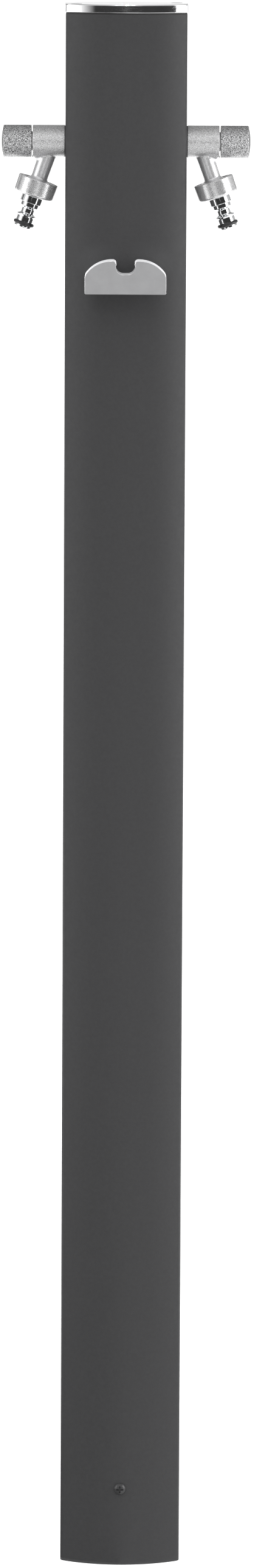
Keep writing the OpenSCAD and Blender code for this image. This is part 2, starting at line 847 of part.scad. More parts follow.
module knob(side) {
  dome_r = (tap_r * tap_r + knob_dome * knob_dome) / (2 * knob_dome);
  color([0.68, 0.68, 0.68]) at_tap(side) difference() {
    rotate([0, 90, 0]) rotate_extrude() intersection() {
      polygon([
        [0, knob_in], [tap_r - edge_break, knob_in], [tap_r, knob_in + edge_break],
        [tap_r, knob_out - knob_dome - edge_break], [tap_r - edge_break, knob_out], [0, knob_out]
      ]);
      translate([0, knob_out - dome_r]) circle(r = dome_r, $fn = bow_fn);
    }
    rod(neck_d / 2 + neck_clear, knob_in - cut, neck_end + end_clear);
    rod(spindle_r + thread_gap, knob_in, spindle_end + end_clear);
    translate([screw_u, 0, -tap_r - cut]) cylinder(r = knob_screw_r + thread_gap, h = tap_r + cut);
  }
}

module knob_screw(side) {
  color([0.3, 0.3, 0.31]) at_tap(side) translate([screw_u, 0, 0]) difference() {
    translate([0, 0, knob_screw_sink - tap_r])
      cylinder(r = knob_screw_r, h = tap_r - knob_screw_sink - flat_z);
    translate([0, 0, -tap_r])
      cylinder(r = hex_r(knob_socket_af), h = knob_screw_sink + knob_socket_depth, $fn = 6);
  }
}

module union_nut(side) {
  top_r = union_d / 2;
  low_r = union_low_d / 2;
  color([0.68, 0.68, 0.68]) at_spout(side) rotate_extrude() polygon(concat(
    [[threequarter_r + thread_gap, nut_top], [top_r - edge_break, nut_top], [top_r, nut_top + edge_break]],
    [for (a = [0:18:90]) [low_r - nut_round * (1 - cos(a)), nut_end - nut_round * (1 - sin(a))]],
    [[collar_r + hole_gap, nut_end], [collar_r + hole_gap, flange_end],
      [threequarter_r + thread_gap, flange_end]]
  ));
}

module union_washer(side) {
  color([0.1, 0.1, 0.1]) at_spout(side) difference() {
    translate([0, 0, spout_end]) cylinder(r = flange_r, h = seal_in_nut);
    cylinder(r = way_r, h = nut_end);
  }
}

module hose_nipple(side) {
  groove_r = oring_mid - oring_r;
  groove_a = oring_u - oring_r - oring_gap;
  groove_b = oring_u + oring_r + oring_gap;
  color([0.8, 0.8, 0.82]) at_spout(side) rotate_extrude() polygon([
    [nipple_bore, flange_u], [flange_r, flange_u], [flange_r, flange_end], [collar_root, flange_end],
    [collar_root, collar_u], [collar_r, collar_u], [collar_r, collar_end - edge_break],
    [collar_r - edge_break, collar_end], [step_r, collar_end], [step_r, step_end],
    [neck_r, neck_a], [neck_r, neck_b], [ridge_r, ridge_u - ridge_w], [ridge_r, ridge_u],
    [guide_r, guide_u], [guide_r, groove_a], [groove_r, groove_a], [groove_r, groove_b],
    [guide_r, groove_b], [guide_r, nipple_end - tip_chamfer], [guide_r - tip_chamfer, nipple_end],
    [nipple_bore, nipple_end]
  ]);
}

module nipple_seal(side) {
  color([0.1, 0.1, 0.1]) at_spout(side) translate([0, 0, oring_u]) rotate_extrude()
    translate([oring_mid, 0]) circle(r = oring_r - olive_gap, $fn = round_fn);
}

post();
cap();
cap_plug();
cap_screws();
hook_block();
hook_spacer();
hook_bolt();
hook_washer();
base_bracket();
base_screws();
riser_pipe();
inlet_coupling();
inlet_nut();
tee();
tee_nut();
pipe_olives();
swivel_nuts();
swivel_washers();
pipe_clip();
clip_screw();
tap_body(-1);  // tap_body_left
tap_body(1);  // tap_body_right
tap_gasket(-1);  // tap_gasket_left
tap_gasket(1);  // tap_gasket_right
tap_locknut(-1);  // tap_locknut_left
tap_locknut(1);  // tap_locknut_right
cartridge(-1);  // cartridge_left
cartridge(1);  // cartridge_right
seat_disc(-1);  // seat_disc_left
seat_disc(1);  // seat_disc_right
seat_seal(-1);  // seat_seal_left
seat_seal(1);  // seat_seal_right
rotor_disc(-1);  // rotor_disc_left
rotor_disc(1);  // rotor_disc_right
spindle(-1);  // spindle_left
spindle(1);  // spindle_right
spindle_seal(-1);  // spindle_seal_left
spindle_seal(1);  // spindle_seal_right
knob(-1);  // knob_left
knob(1);  // knob_right
knob_screw(-1);  // knob_screw_left
knob_screw(1);  // knob_screw_right
union_nut(-1);  // union_nut_left
union_nut(1);  // union_nut_right
union_washer(-1);  // union_washer_left
union_washer(1);  // union_washer_right
hose_nipple(-1);  // hose_nipple_left
hose_nipple(1);  // hose_nipple_right
nipple_seal(-1);  // nipple_seal_left
nipple_seal(1);  // nipple_seal_right
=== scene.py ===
"""Garden standpipe: finished meshes, materials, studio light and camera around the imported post."""
import json
import math

import bmesh
import bpy
from bpy.props import FloatProperty, FloatVectorProperty, PointerProperty
from mathutils import Matrix, Vector


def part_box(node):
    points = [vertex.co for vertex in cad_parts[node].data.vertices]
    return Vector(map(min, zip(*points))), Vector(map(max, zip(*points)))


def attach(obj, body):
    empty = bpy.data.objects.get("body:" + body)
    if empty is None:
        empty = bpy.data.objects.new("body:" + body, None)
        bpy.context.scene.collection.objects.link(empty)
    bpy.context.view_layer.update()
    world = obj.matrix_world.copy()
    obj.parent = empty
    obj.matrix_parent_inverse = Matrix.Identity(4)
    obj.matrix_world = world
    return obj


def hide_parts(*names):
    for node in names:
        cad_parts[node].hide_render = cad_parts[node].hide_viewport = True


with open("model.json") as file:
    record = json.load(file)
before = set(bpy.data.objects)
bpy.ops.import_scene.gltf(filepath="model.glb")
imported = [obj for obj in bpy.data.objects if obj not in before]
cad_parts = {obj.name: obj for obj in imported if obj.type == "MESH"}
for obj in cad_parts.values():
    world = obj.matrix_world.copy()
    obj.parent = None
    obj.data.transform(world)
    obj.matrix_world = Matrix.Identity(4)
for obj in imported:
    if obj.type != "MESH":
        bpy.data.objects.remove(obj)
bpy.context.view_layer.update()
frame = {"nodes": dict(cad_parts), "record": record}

bl_info = {
    "name": "Garden standpipe",
    "version": (1, 0, 0),
    "blender": (4, 5, 0),
    "location": "3D View > Sidebar > Standpipe",
    "description": "Builds the finished pieces of a garden standpipe around its frame",
    "category": "Object",
}

MM = 0.001
SIDES = {"left": -1, "right": 1}
STAND = "stand"

# How fine the meshes are
TURN_SIDES = 128
WIDE_SIDES = 96
BORE_SIDES = 64
HOLE_SIDES = 48
SEAL_STEPS = 32
CORNER_STEPS = 6
BOW_STEPS = 72
DOME_STEPS = 16
FILLET_STEPS = 10
SPOUT_STEPS = 8

# From which angle an edge stays sharp, how far a tool reaches past its cut, and when two points are one
CREASE = math.radians(32)
CUT = 1 * MM
SAME_PLACE = 1e-4 * MM

# The part of a noise's range that most of its grains lie in, and a narrow part that makes them sharp
NOISE_ENDS = (0.3, 0.7)
SHARP_ENDS = (0.42, 0.58)

# The clear lacquer on the satin chrome
LACQUER_ROUGHNESS = 0.25
THIN_LACQUER_IOR = 1.6
THICK_LACQUER_IOR = 1.9

# Places taken from the frame
POST_HALF_W, POST_HALF_D, POST_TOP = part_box("post")[1]
CAP_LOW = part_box("cap")[0].z
CAP_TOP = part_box("cap")[1].z
CAP_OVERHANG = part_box("cap")[1].x - POST_HALF_W
KNOB_LOW, KNOB_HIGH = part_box("knob_right")
TAP_Z = (KNOB_LOW.z + KNOB_HIGH.z) / 2
TAP_R = KNOB_HIGH.y
HOOK_LOW, HOOK_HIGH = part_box("hook_block")
HOOK_BOLT_Z = sum(corner.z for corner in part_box("hook_spacer")) / 2
BASE_SCREW_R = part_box("base_screws")[1].x
BASE_SCREW_Z = sum(corner.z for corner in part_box("base_screws")) / 2

# The right-hand tap along its axis, from the post's side
GASKET_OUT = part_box("tap_gasket_right")[1].x - POST_HALF_W
SHANK_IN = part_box("tap_body_right")[0].x - POST_HALF_W
KNOB_IN = KNOB_LOW.x - POST_HALF_W
KNOB_OUT = KNOB_HIGH.x - POST_HALF_W
NECK_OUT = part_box("cartridge_right")[1].x - POST_HALF_W
SPINDLE_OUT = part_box("spindle_right")[1].x - POST_HALF_W
KNOB_SCREW_U = sum(corner.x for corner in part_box("knob_screw_right")) / 2 - POST_HALF_W

# The spout's slant and the place where its axis leaves the tap's
PLUG = next(m for m in frame["record"]["mounts"] if m["name"] == "hose_plug_right")
SPOUT_AXIS = Vector(PLUG["axis"]).normalized()
SPOUT_TILT = math.atan2(SPOUT_AXIS.x, -SPOUT_AXIS.z)
PLUG_T = (TAP_Z - PLUG["pos_m"][2]) / math.cos(SPOUT_TILT)
SPOUT_U = PLUG["pos_m"][0] - PLUG_T * math.sin(SPOUT_TILT) - POST_HALF_W

# The tap's inside, which the frame's other pieces fill
HALF_INCH_R = 10.45 * MM
WAY_R = 6 * MM
SEAT_U = 5.5 * MM
CARTRIDGE_BORE_R = 9 * MM
NECK_BORE_R = 7.9 * MM
SPINDLE_BORE_R = 4.05 * MM
KNOB_SCREW_R = 2.05 * MM
KNOB_END_GAP = 0.3 * MM

# The spout, the union nut and the hose nipple, along the spout's axis from the tap's axis
SPOUT_BORE_R = 4.3 * MM
SHOULDER_R = 13.2 * MM
SHOULDER_T = 31.4 * MM
SPOUT_END_T = 39 * MM
NUT_TOP_T = 31 * MM
NUT_END_T = 44 * MM
NUT_LIP = 2 * MM
NUT_BORE_R = 13.25 * MM
COLLAR_R = 8.15 * MM
COLLAR_ROOT_R = 7.15 * MM
COLLAR_FROM_T = 44.3 * MM
COLLAR_BORE_R = 8.45 * MM
COLLAR_END_T = 49.6 * MM
FLANGE_R = 12.6 * MM
FLANGE_T = 40.5 * MM
STEP_R = 6.85 * MM
STEP_END_T = 52.6 * MM
NECK_R = 4.9 * MM
NECK_FROM_T = 54 * MM
NECK_TO_T = 57.8 * MM
RIDGE_R = 7.1 * MM
RIDGE_FROM_T = 59.1 * MM
RIDGE_TO_T = 59.6 * MM
GUIDE_R = 6.5 * MM
GUIDE_T = 60.6 * MM
GROOVE_R = 5.4 * MM
GROOVE_FROM_T = 64.4 * MM
GROOVE_TO_T = 67.2 * MM
TIP_T = 69 * MM
NIPPLE_BORE_R = 3.6 * MM
SEAL_MID_R = 6.7 * MM
SEAL_SECTION_R = 1.28 * MM


def arc(centre, radius, start, end, steps):
    """Points along an arc from start to end, in degrees, with both ends."""
    angles = [math.radians(start + (end - start) * i / steps) for i in range(steps + 1)]
    return [Vector((centre[0] + radius * math.cos(a), centre[1] + radius * math.sin(a))) for a in angles]


def outline_of(arcs):
    """One closed outline through a list of arcs, joined by straight lines."""
    points = []
    for one in arcs:
        for point in arc(*one):
            if not points or (point - points[-1]).length > SAME_PLACE:
                points.append(point)
    if (points[0] - points[-1]).length < SAME_PLACE:
        points.pop()
    return points


def rounded(corners, closed=True):
    """Points of an outline through (x, y, radius) corners, each rounded by its radius."""
    points = []
    last = len(corners) - 1
    for i, (x, y, radius) in enumerate(corners):
        here = Vector((x, y))
        if radius == 0 or (not closed and i in (0, last)):
            points.append(here)
            continue
        back = (Vector(corners[i - 1][:2]) - here).normalized()
        ahead = (Vector(corners[(i + 1) % len(corners)][:2]) - here).normalized()
        half = back.angle(ahead) / 2
        centre = here + (back + ahead).normalized() * radius / math.sin(half)
        first = here + back * radius / math.tan(half) - centre
        final = here + ahead * radius / math.tan(half) - centre
        start = math.atan2(first.y, first.x)
        sweep = math.remainder(math.atan2(final.y, final.x) - start, math.tau)
        points += arc(centre, radius, math.degrees(start), math.degrees(start + sweep), CORNER_STEPS)
    return points


def inset(outline, depth):
    """A closed anticlockwise outline moved in by depth, mitred at its corners."""
    moved = []
    for i, here in enumerate(outline):
        back = (here - outline[i - 1]).normalized()
        ahead = (outline[(i + 1) % len(outline)] - here).normalized()
        normals = (Vector((-back.y, back.x)), Vector((-ahead.y, ahead.x)))
        moved.append(here + (normals[0] + normals[1]) * depth / (1 + normals[0].dot(normals[1])))
    return moved


def loft(outline, profile, lift, ring=False):
    """A solid whose sections are the outline moved in by each depth of the profile, at that height."""
    mesh = bmesh.new()
    loops = []
    for depth, height in profile:
        loops.append([mesh.verts.new(lift(p.x, p.y, height)) for p in inset(outline, depth)])
    pairs = list(zip(loops, loops[1:]))
    if ring:
        pairs.append((loops[-1], loops[0]))
    else:
        mesh.faces.new(loops[0])
        mesh.faces.new(loops[-1])
    for low, high in pairs:
        for i in range(len(outline)):
            mesh.faces.new((low[i - 1], low[i], high[i], high[i - 1]))
    bmesh.ops.recalc_face_normals(mesh, faces=mesh.faces)
    return mesh


def turned(profile, place, sides=TURN_SIDES):
    """A solid turned round the place's Z axis from the (radius, distance) points of a closed profile."""
    mesh = bmesh.new()
    rings = []
    for radius, distance in profile:
        if radius < SAME_PLACE:
            rings.append([mesh.verts.new(place @ Vector((0, 0, distance)))] * sides)
            continue
        spots = []
        for k in range(sides):
            turn = math.tau * k / sides
            spots.append(Vector((radius * math.cos(turn), radius * math.sin(turn), distance)))
        rings.append([mesh.verts.new(place @ spot) for spot in spots])
    for i, ring in enumerate(rings):
        for k in range(sides):
            quad = (rings[i - 1][k - 1], rings[i - 1][k], ring[k], ring[k - 1])
            corners = list(dict.fromkeys(quad))
            if len(corners) > 2:
                mesh.faces.new(corners)
    bmesh.ops.recalc_face_normals(mesh, faces=mesh.faces)
    return mesh


def aimed(start, direction):
    """A place at start whose Z axis points along direction."""
    return Matrix.Translation(start) @ Vector(direction).to_track_quat("Z", "Y").to_matrix().to_4x4()


def rod(radius, start, direction, reach, sides=HOLE_SIDES):
    """A plain round bar, used to cut a hole."""
    return turned([(0, 0), (radius, 0), (radius, reach), (0, reach)], aimed(start, direction), sides)


def mesh_data(name, mesh):
    """Mesh data made from a mesh under work, which is freed."""
    data = bpy.data.meshes.new(name)
    mesh.to_mesh(data)
    mesh.free()
    return data


def placed(name, data):
    """A new object in the scene that holds the data."""
    made = bpy.data.objects.new(name, data)
    bpy.context.scene.collection.objects.link(made)
    return made


def joined(meshes):
    """Several solids as one mesh."""
    whole = bmesh.new()
    for mesh in meshes:
        data = mesh_data("joined", mesh)
        whole.from_mesh(data)
        bpy.data.meshes.remove(data)
    return whole


def combined(target, tool, operation):
    """The target with the tool added to it or cut from it."""
    holders = [placed("combined", mesh_data("combined", mesh)) for mesh in (target, tool)]
    modifier = holders[0].modifiers.new("combined", "BOOLEAN")
    modifier.operation = operation
    modifier.solver = "EXACT"
    modifier.object = holders[1]
    bpy.context.view_layer.update()
    result = bmesh.new()
    result.from_object(holders[0], bpy.context.evaluated_depsgraph_get())
    bmesh.ops.dissolve_degenerate(result, edges=result.edges, dist=SAME_PLACE)
    for holder in holders:
        data = holder.data
        bpy.data.objects.remove(holder)
        bpy.data.meshes.remove(data)
    if not result.faces:
        raise RuntimeError(f"the {operation} left nothing")
    return result


def piece(name, mesh, material, slot, body, *nodes):
    """Puts a finished mesh into the scene, in the place of the frame's nodes."""
    for face in mesh.faces:
        face.smooth = True
    for edge in mesh.edges:
        edge.smooth = edge.calc_face_angle(0) < CREASE
    made = placed(name, mesh_data(name, mesh))
    made.data.materials.append(material)
    shading = made.modifiers.new("even_shading", "WEIGHTED_NORMAL")
    shading.keep_sharp = True
    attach(made, body)
    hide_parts(*nodes)
    return made


def dress(node, material):
    """Gives one of the frame's own pieces a material."""
    if not node.material_slots:
        node.data.materials.append(material)
    for held in node.material_slots:
        held.material = material


def side_turn(side):
    """The turn that carries the right-hand tap over to one side."""
    return Matrix.Rotation(0 if SIDES[side] > 0 else math.pi, 4, "Z")


def tap_origin(side):
    """The frame of one tap: X runs out along its axis from the post's side."""
    return side_turn(side) @ Matrix.Translation((POST_HALF_W, 0, TAP_Z))


def tap_place(side):
    """The tap's frame with Z along its axis, for turned pieces."""
    return tap_origin(side) @ Matrix.Rotation(math.pi / 2, 4, "Y")


def spout_place(side):
    """The spout's frame, with Z running down along the spout."""
    start = Matrix.Translation((SPOUT_U, 0, 0))
    return tap_origin(side) @ start @ Matrix.Rotation(math.pi - SPOUT_TILT, 4, "Y")


def finish(name, colour, metallic, roughness):
    """A new material; its even values are set on the shader itself."""
    material = bpy.data.materials.new(name)
    material.use_nodes = True
    shader = material.node_tree.nodes["Principled BSDF"]
    shader.inputs["Base Color"].default_value = (*colour, 1)
    shader.inputs["Metallic"].default_value = metallic
    shader.inputs["Roughness"].default_value = roughness
    return material, shader


def speckle(material, size, stretch=(1, 1, 1), detail=2.0):
    """A noise over the piece with grains of that size, stretched along its axes."""
    nodes = material.node_tree.nodes
    place = nodes.new("ShaderNodeTexCoord")
    scale = nodes.new("ShaderNodeMapping")
    scale.inputs["Scale"].default_value = [1 / (size * s) for s in stretch]
    noise = nodes.new("ShaderNodeTexNoise")
    noise.inputs["Scale"].default_value = 1
    noise.inputs["Detail"].default_value = detail
    material.node_tree.links.new(place.outputs["Object"], scale.inputs["Vector"])
    material.node_tree.links.new(scale.outputs["Vector"], noise.inputs["Vector"])
    return noise.outputs[0]


def ranged(tree, value, span, results):
    """A node that carries a value from one span over to another."""
    node = tree.nodes.new("ShaderNodeMapRange")
    node.inputs["From Min"].default_value = span[0]
    node.inputs["From Max"].default_value = span[1]
    node.inputs["To Min"].default_value = results[0]
    node.inputs["To Max"].default_value = results[1]
    tree.links.new(value, node.inputs["Value"])
    return node


def tinted(material, shader, pattern, colour, spread, ends=NOISE_ENDS):
    """Lets the colour wander by a share of itself, over the part of a pattern between two ends."""
    ramp = material.node_tree.nodes.new("ShaderNodeValToRGB")
    ramp.color_ramp.elements[0].position = ends[0]
    ramp.color_ramp.elements[1].position = ends[1]
    ramp.color_ramp.elements[0].color = (*[c * (1 - spread) for c in colour], 1)
    ramp.color_ramp.elements[1].color = (*[min(1, c * (1 + spread)) for c in colour], 1)
    material.node_tree.links.new(pattern, ramp.inputs["Fac"])
    material.node_tree.links.new(ramp.outputs["Color"], shader.inputs["Base Color"])


def uneven(material, shader, pattern, roughness, low, high):
    """Lets the roughness wander between two shares of itself, along a pattern."""
    wander = ranged(material.node_tree, pattern, NOISE_ENDS, (low * roughness, high * roughness))
    material.node_tree.links.new(wander.outputs["Result"], shader.inputs["Roughness"])


def embossed(material, shader, pattern, depth):
    """Raises the surface along a pattern by up to depth."""
    bump = material.node_tree.nodes.new("ShaderNodeBump")
    bump.inputs["Strength"].default_value = 1
    bump.inputs["Distance"].default_value = depth
    material.node_tree.links.new(pattern, bump.inputs["Height"])
    material.node_tree.links.new(bump.outputs["Normal"], shader.inputs["Normal"])


def powder_coat(name, colour, sheen, roughness):
    """A fine-textured powder coat."""
    material, shader = finish(name, colour, 0, roughness)
    shader.inputs["Specular IOR Level"].default_value = sheen
    tinted(material, shader, speckle(material, size=2.4 * MM, detail=4), colour, spread=0.06)
    uneven(material, shader, speckle(material, size=5 * MM), roughness, low=0.9, high=1.1)
    embossed(material, shader, speckle(material, size=0.7 * MM, detail=3), depth=0.02 * MM)
    return material


def polished_metal(name, colour, roughness):
    """Polished aluminium with faint polishing lines."""
    material, shader = finish(name, colour, 1, roughness)
    tinted(material, shader, speckle(material, size=12 * MM), colour, spread=0.03)
    streaks = speckle(material, size=1.5 * MM, stretch=(12, 1, 1))
    uneven(material, shader, streaks, roughness, low=0.7, high=1.3)
    scratches = speckle(material, size=0.6 * MM, stretch=(20, 1, 1))
    embossed(material, shader, scratches, depth=0.0006 * MM)
    return material


def satin_metal(name, colour, metal, roughness, grain, contrast, depth, lacquer, rim=1.0):
    """Pearly satin chrome with a blasted, salt-and-pepper grain under a clear, glossy lacquer."""
    material, shader = finish(name, colour, metal, roughness)
    shader.inputs["Specular Tint"].default_value = (rim, rim, rim, 1)
    shader.inputs["Coat Weight"].default_value = 1
    shader.inputs["Coat Roughness"].default_value = LACQUER_ROUGHNESS
    shader.inputs["Coat IOR"].default_value = lacquer
    pits = speckle(material, grain, detail=1)
    tinted(material, shader, pits, colour, contrast, SHARP_ENDS)
    uneven(material, shader, speckle(material, 5 * grain), roughness, low=0.92, high=1.08)
    embossed(material, shader, pits, depth)
    return material


def mirror_metal(name, colour, roughness):
    """Bright chrome with a barely uneven polish."""
    material, shader = finish(name, colour, 1, roughness)
    tinted(material, shader, speckle(material, size=6 * MM), colour, spread=0.02)
    uneven(material, shader, speckle(material, size=3 * MM, detail=4), roughness, low=0.6, high=1.4)
    return material


def hazed_metal(name, colour, metal, roughness):
    """Satin aluminium with faint cloudy smudges and a fine even skin."""
    material, shader = finish(name, colour, metal, roughness)
    tinted(material, shader, speckle(material, size=9 * MM, detail=5), colour, spread=0.05)
    uneven(material, shader, speckle(material, size=6 * MM, detail=4), roughness, low=0.9, high=1.1)
    embossed(material, shader, speckle(material, size=0.3 * MM), depth=0.004 * MM)
    return material


def turned_metal(name, colour, roughness):
    """Machined or cast metal with a slightly uneven, dulled skin."""
    material, shader = finish(name, colour, 1, roughness)
    tinted(material, shader, speckle(material, size=5 * MM, detail=5), colour, spread=0.12)
    uneven(material, shader, speckle(material, size=2 * MM), roughness, low=0.8, high=1.3)
    embossed(material, shader, speckle(material, size=0.5 * MM, detail=3), depth=0.004 * MM)
    return material


def moulded(name, colour, roughness, grain):
    """Moulded plastic, rubber or fired ceramic with a fine skin."""
    material, shader = finish(name, colour, 0, roughness)
    tinted(material, shader, speckle(material, 8 * grain, detail=4), colour, spread=0.1)
    uneven(material, shader, speckle(material, 4 * grain), roughness, low=0.85, high=1.15)
    embossed(material, shader, speckle(material, grain, detail=3), depth=0.03 * grain)
    return material


def rubber_finish():
    """The one black rubber that all seals share."""
    made = bpy.data.materials.get("seal_rubber")
    return made or moulded("seal_rubber", (0.014, 0.014, 0.015), roughness=0.4, grain=0.4 * MM)


def length(name, description, default):
    """A length property in metres."""
    return FloatProperty(name=name, description=description, default=default, unit="LENGTH", precision=5)


def angle(name, description, degrees):
    """An angle property, given in degrees."""
    return FloatProperty(
        name=name, description=description, default=math.radians(degrees), subtype="ANGLE")


def level(name, description, default):
    """A brightness property."""
    return FloatProperty(name=name, description=description, default=default, min=0)


def power(name, description, default):
    """A light's power in watts."""
    return FloatProperty(name=name, description=description, default=default, min=0, unit="POWER")


def tint(name, description, default):
    """A colour property."""
    return FloatVectorProperty(
        name=name, description=description, default=default, subtype="COLOR", min=0, max=1)


def share(name, description, default):
    """A property between nought and one."""
    return FloatProperty(
        name=name, description=description, default=default, min=0, max=1, subtype="FACTOR")


class StandpipePost(bpy.types.PropertyGroup):
    """Sizes and finish of the post and its cap"""

    crown: length("Crown", "How far the curved front and back stand out past the flat sides", 15 * MM)
    edge: length("Edge radius", "Radius of the four long edges", 5 * MM)
    wall: length("Wall", "Thickness of the extrusion", 2.5 * MM)
    end_round: length("End rounding", "Rounding where the post was cut off", 0.5 * MM)
    cap_round: length("Cap rounding", "Rounding of the cap's upper edge", 0.8 * MM)
    cap_under: length("Cap under-edge", "Rounding of the cap's lower edge", 0.5 * MM)
    coat: tint("Coat", "Colour of the powder coat", (0.031, 0.031, 0.032))
    coat_sheen: share("Coat sheen", "How strongly the powder coat mirrors the light", 0.22)
    coat_roughness: share("Coat roughness", "How blurred the coat's reflections are", 0.49)
    screw_sheen: share("Screw sheen", "How strongly the coated screws mirror the light", 0.35)
    screw_roughness: share("Screw roughness", "How blurred the screws' reflections are", 0.25)
    cap_colour: tint("Cap", "Colour of the polished cap", (0.86, 0.86, 0.87))
    cap_roughness: share("Cap roughness", "How blurred the cap's reflections are", 0.09)


class StandpipeHook(bpy.types.PropertyGroup):
    """Sizes and finish of the hose hook"""

    edge: length("Edge rounding", "Rounding of the block's edges", 0.3 * MM)
    corner: length("Lower corners", "Radius of the two lower corners", 1 * MM)
    shoulder: length("Shoulders", "Radius where the sides meet the lobes", 6 * MM)
    lobe: length("Lobes", "Radius of the two lobes", 24.5 * MM)
    slot_width: length("Slot width", "Width of the slot between its straight walls", 14 * MM)
    slot_floor: length("Slot floor", "Height of the slot's floor in the block", 14.8 * MM)
    slot_corner: length("Slot corners", "Radius of the slot's two lower corners", 5.8 * MM)
    slot_bulge: length("Slot bulge", "How far the corners reach past the slot's walls", 0.25 * MM)
    lip: length("Lips", "Radius of the slot's two lips", 2.5 * MM)
    lobe_set: length("Lobe offset", "How far the lobes' crests lie past the lips", 0.7 * MM)
    colour: tint("Satin metal", "Colour of the satin aluminium", (0.28, 0.28, 0.285))
    metal: share("Metal", "How metallic the block looks, the rest being a pale haze", 0.4)
    roughness: share("Roughness", "How blurred the metal's reflections are", 0.45)


class StandpipeTaps(bpy.types.PropertyGroup):
    """Sizes and finish of the tap bodies, knobs, union nuts and hose nipples"""

    knob_gap: length("Knob gap", "Gap between tap body and knob", 1 * MM)
    edge: length("Edges", "Rounding of the turned edges", 0.5 * MM)
    knob_dome: length("Dome", "Rise of the knob's domed end", 1.5 * MM)
    knob_edge: length("Knob edge", "Rounding round the knob's domed end", 0.8 * MM)
    root_r: length("Spout root", "Radius of the spout just under the tap", 6.45 * MM)
    spout_r: length("Spout", "Radius of the spout above its shoulder", 6.25 * MM)
    fillet: length("Root fillet", "Fillet between tap body and spout", 3 * MM)
    shoulder_fillet: length("Shoulder fillet", "Fillet between spout and shoulder", 3 * MM)
    nut_r: length("Nut top", "Radius of the union nut at its top", 15.25 * MM)
    nut_low_r: length("Nut bottom", "Radius of the union nut at its bottom", 15.1 * MM)
    nut_round: length("Nut rounding", "Rounding of the union nut's lower edge", 2.2 * MM)
    colour: tint("Satin chrome", "Colour of the satin chrome", (0.6, 0.6, 0.605))
    metal: share("Metal", "How metallic the bodies and knobs look, the rest being pearly", 0.85)
    roughness: share("Roughness", "How blurred the satin chrome's reflections are", 0.42)
    grain: length("Grain", "Size of the satin chrome's grain", 0.5 * MM)
    contrast: share("Grain contrast", "How much lighter and darker the body's grains are", 0.3)
    grain_depth: length("Grain depth", "Height of the satin chrome's grain", 0.1 * MM)
    spout_colour: tint("Spout chrome", "Colour of the chrome on the spouts", (0.66, 0.66, 0.67))
    spout_metal: share("Spout metal", "How metallic the spouts look, the rest being pearly", 0.75)
    spout_roughness: share("Spout roughness", "How blurred the spouts' reflections are", 0.3)
    spout_contrast: share("Spout contrast", "How much lighter and darker the spouts' grains are", 0.12)
    nut_colour: tint("Nut chrome", "Colour of the chrome on the union nuts", (0.58, 0.58, 0.585))
    nut_metal: share("Nut metal", "How metallic the union nuts look, the rest being pearly", 0.7)
    nut_roughness: share("Nut roughness", "How blurred the union nuts' reflections are", 0.22)
    nut_contrast: share("Nut contrast", "How much lighter and darker the nuts' grains are", 0.25)
    nut_grain_depth: length("Nut grain depth", "Height of the grain on the union nuts", 0.06 * MM)
    knob_colour: tint("Knob chrome", "Colour of the knobs' darker chrome", (0.42, 0.42, 0.425))
    knob_grain: length("Knob grain", "Size of the grain on the knobs", 0.56 * MM)
    knob_contrast: share("Knob contrast", "How much lighter and darker the knobs' grains are", 0.75)
    knob_grain_depth: length("Knob grain depth", "Height of the grain on the knobs", 0.5 * MM)
    knob_rim: share("Knob rim", "How bright the knobs are where they turn away", 0.3)
    bright: tint("Bright chrome", "Colour of the nipples' bright chrome", (0.88, 0.89, 0.9))
    bright_roughness: share("Bright roughness", "How blurred the bright chrome's reflections are", 0.02)


class StandpipeStage(bpy.types.PropertyGroup):
    """Camera, floor and light"""

    lens: FloatProperty(
        name="Lens", description="Focal length of the camera", default=181.58, unit="CAMERA")
    camera_x: length("Camera across", "Place of the camera across the front", 3 * MM)
    camera_away: length("Camera distance", "Distance of the camera before the post", 6)
    camera_height: length("Camera height", "Height of the camera above the floor", 1.455)
    camera_tilt: angle("Camera tilt", "How far the camera looks down", 8.06)
    camera_roll: angle("Camera roll", "How far the camera leans to its left", 0.275)
    floor: tint("Floor", "Colour of the floor", (0.4, 0.4, 0.4))
    floor_glow: share("Floor glow", "How much the floor shines, so that no shadow shows", 0.9)
    horizon: level("Horizon", "Brightness of the studio near the horizon", 1.05)
    front: level("Front", "Brightness of the studio high up in front", 1)
    overhead: level("Overhead", "Brightness of the studio above and behind", 0.3)
    dark_card: level("Dark cards", "Brightness of the dark cards", 0.012)
    dim_card: level("Right rear card", "Brightness of the card behind at the right", 0.65)
    grey_card: level("Right floor card", "Brightness of the card on the floor at the right", 1.1)
    white_card: level("Rear floor card", "Brightness of the card on the floor behind", 1.8)
    cap_card: level("Cap card", "Brightness of the card that the cap's top mirrors", 0.9)
    sky: level("Top light", "Strength of the soft light from above", 2.2)
    right_box: power("Right softbox", "Power of the right-hand softbox", 40)
    left_box: power("Left softbox", "Power of the left-hand softbox", 15)
    hook_top_light: power("Hook top light", "Power of the small light above the hook", 60)
    hook_light: power("Hook lights", "Power of the two small lights beside the hook", 100)


def post_outline(sizes):
    """The post's outline: two large arcs, two flat sides and four rounded edges."""
    crown_r = (POST_HALF_W ** 2 + sizes.crown ** 2) / (2 * sizes.crown)
    crown_y = crown_r - POST_HALF_D
    edge_x = POST_HALF_W - sizes.edge
    edge_y = math.sqrt((crown_r - sizes.edge) ** 2 - edge_x ** 2) - crown_y
    bow = math.degrees(math.asin(edge_x / (crown_r - sizes.edge)))
    return outline_of([
        ((0, crown_y), crown_r, -90 - bow, -90 + bow, BOW_STEPS),
        ((edge_x, -edge_y), sizes.edge, -90 + bow, 0, 2 * CORNER_STEPS),
        ((edge_x, edge_y), sizes.edge, 0, 90 - bow, 2 * CORNER_STEPS),
        ((0, -crown_y), crown_r, 90 - bow, 90 + bow, BOW_STEPS),
        ((-edge_x, edge_y), sizes.edge, 90 + bow, 180, 2 * CORNER_STEPS),
        ((-edge_x, -edge_y), sizes.edge, 180, 270 - bow, 2 * CORNER_STEPS),
    ])


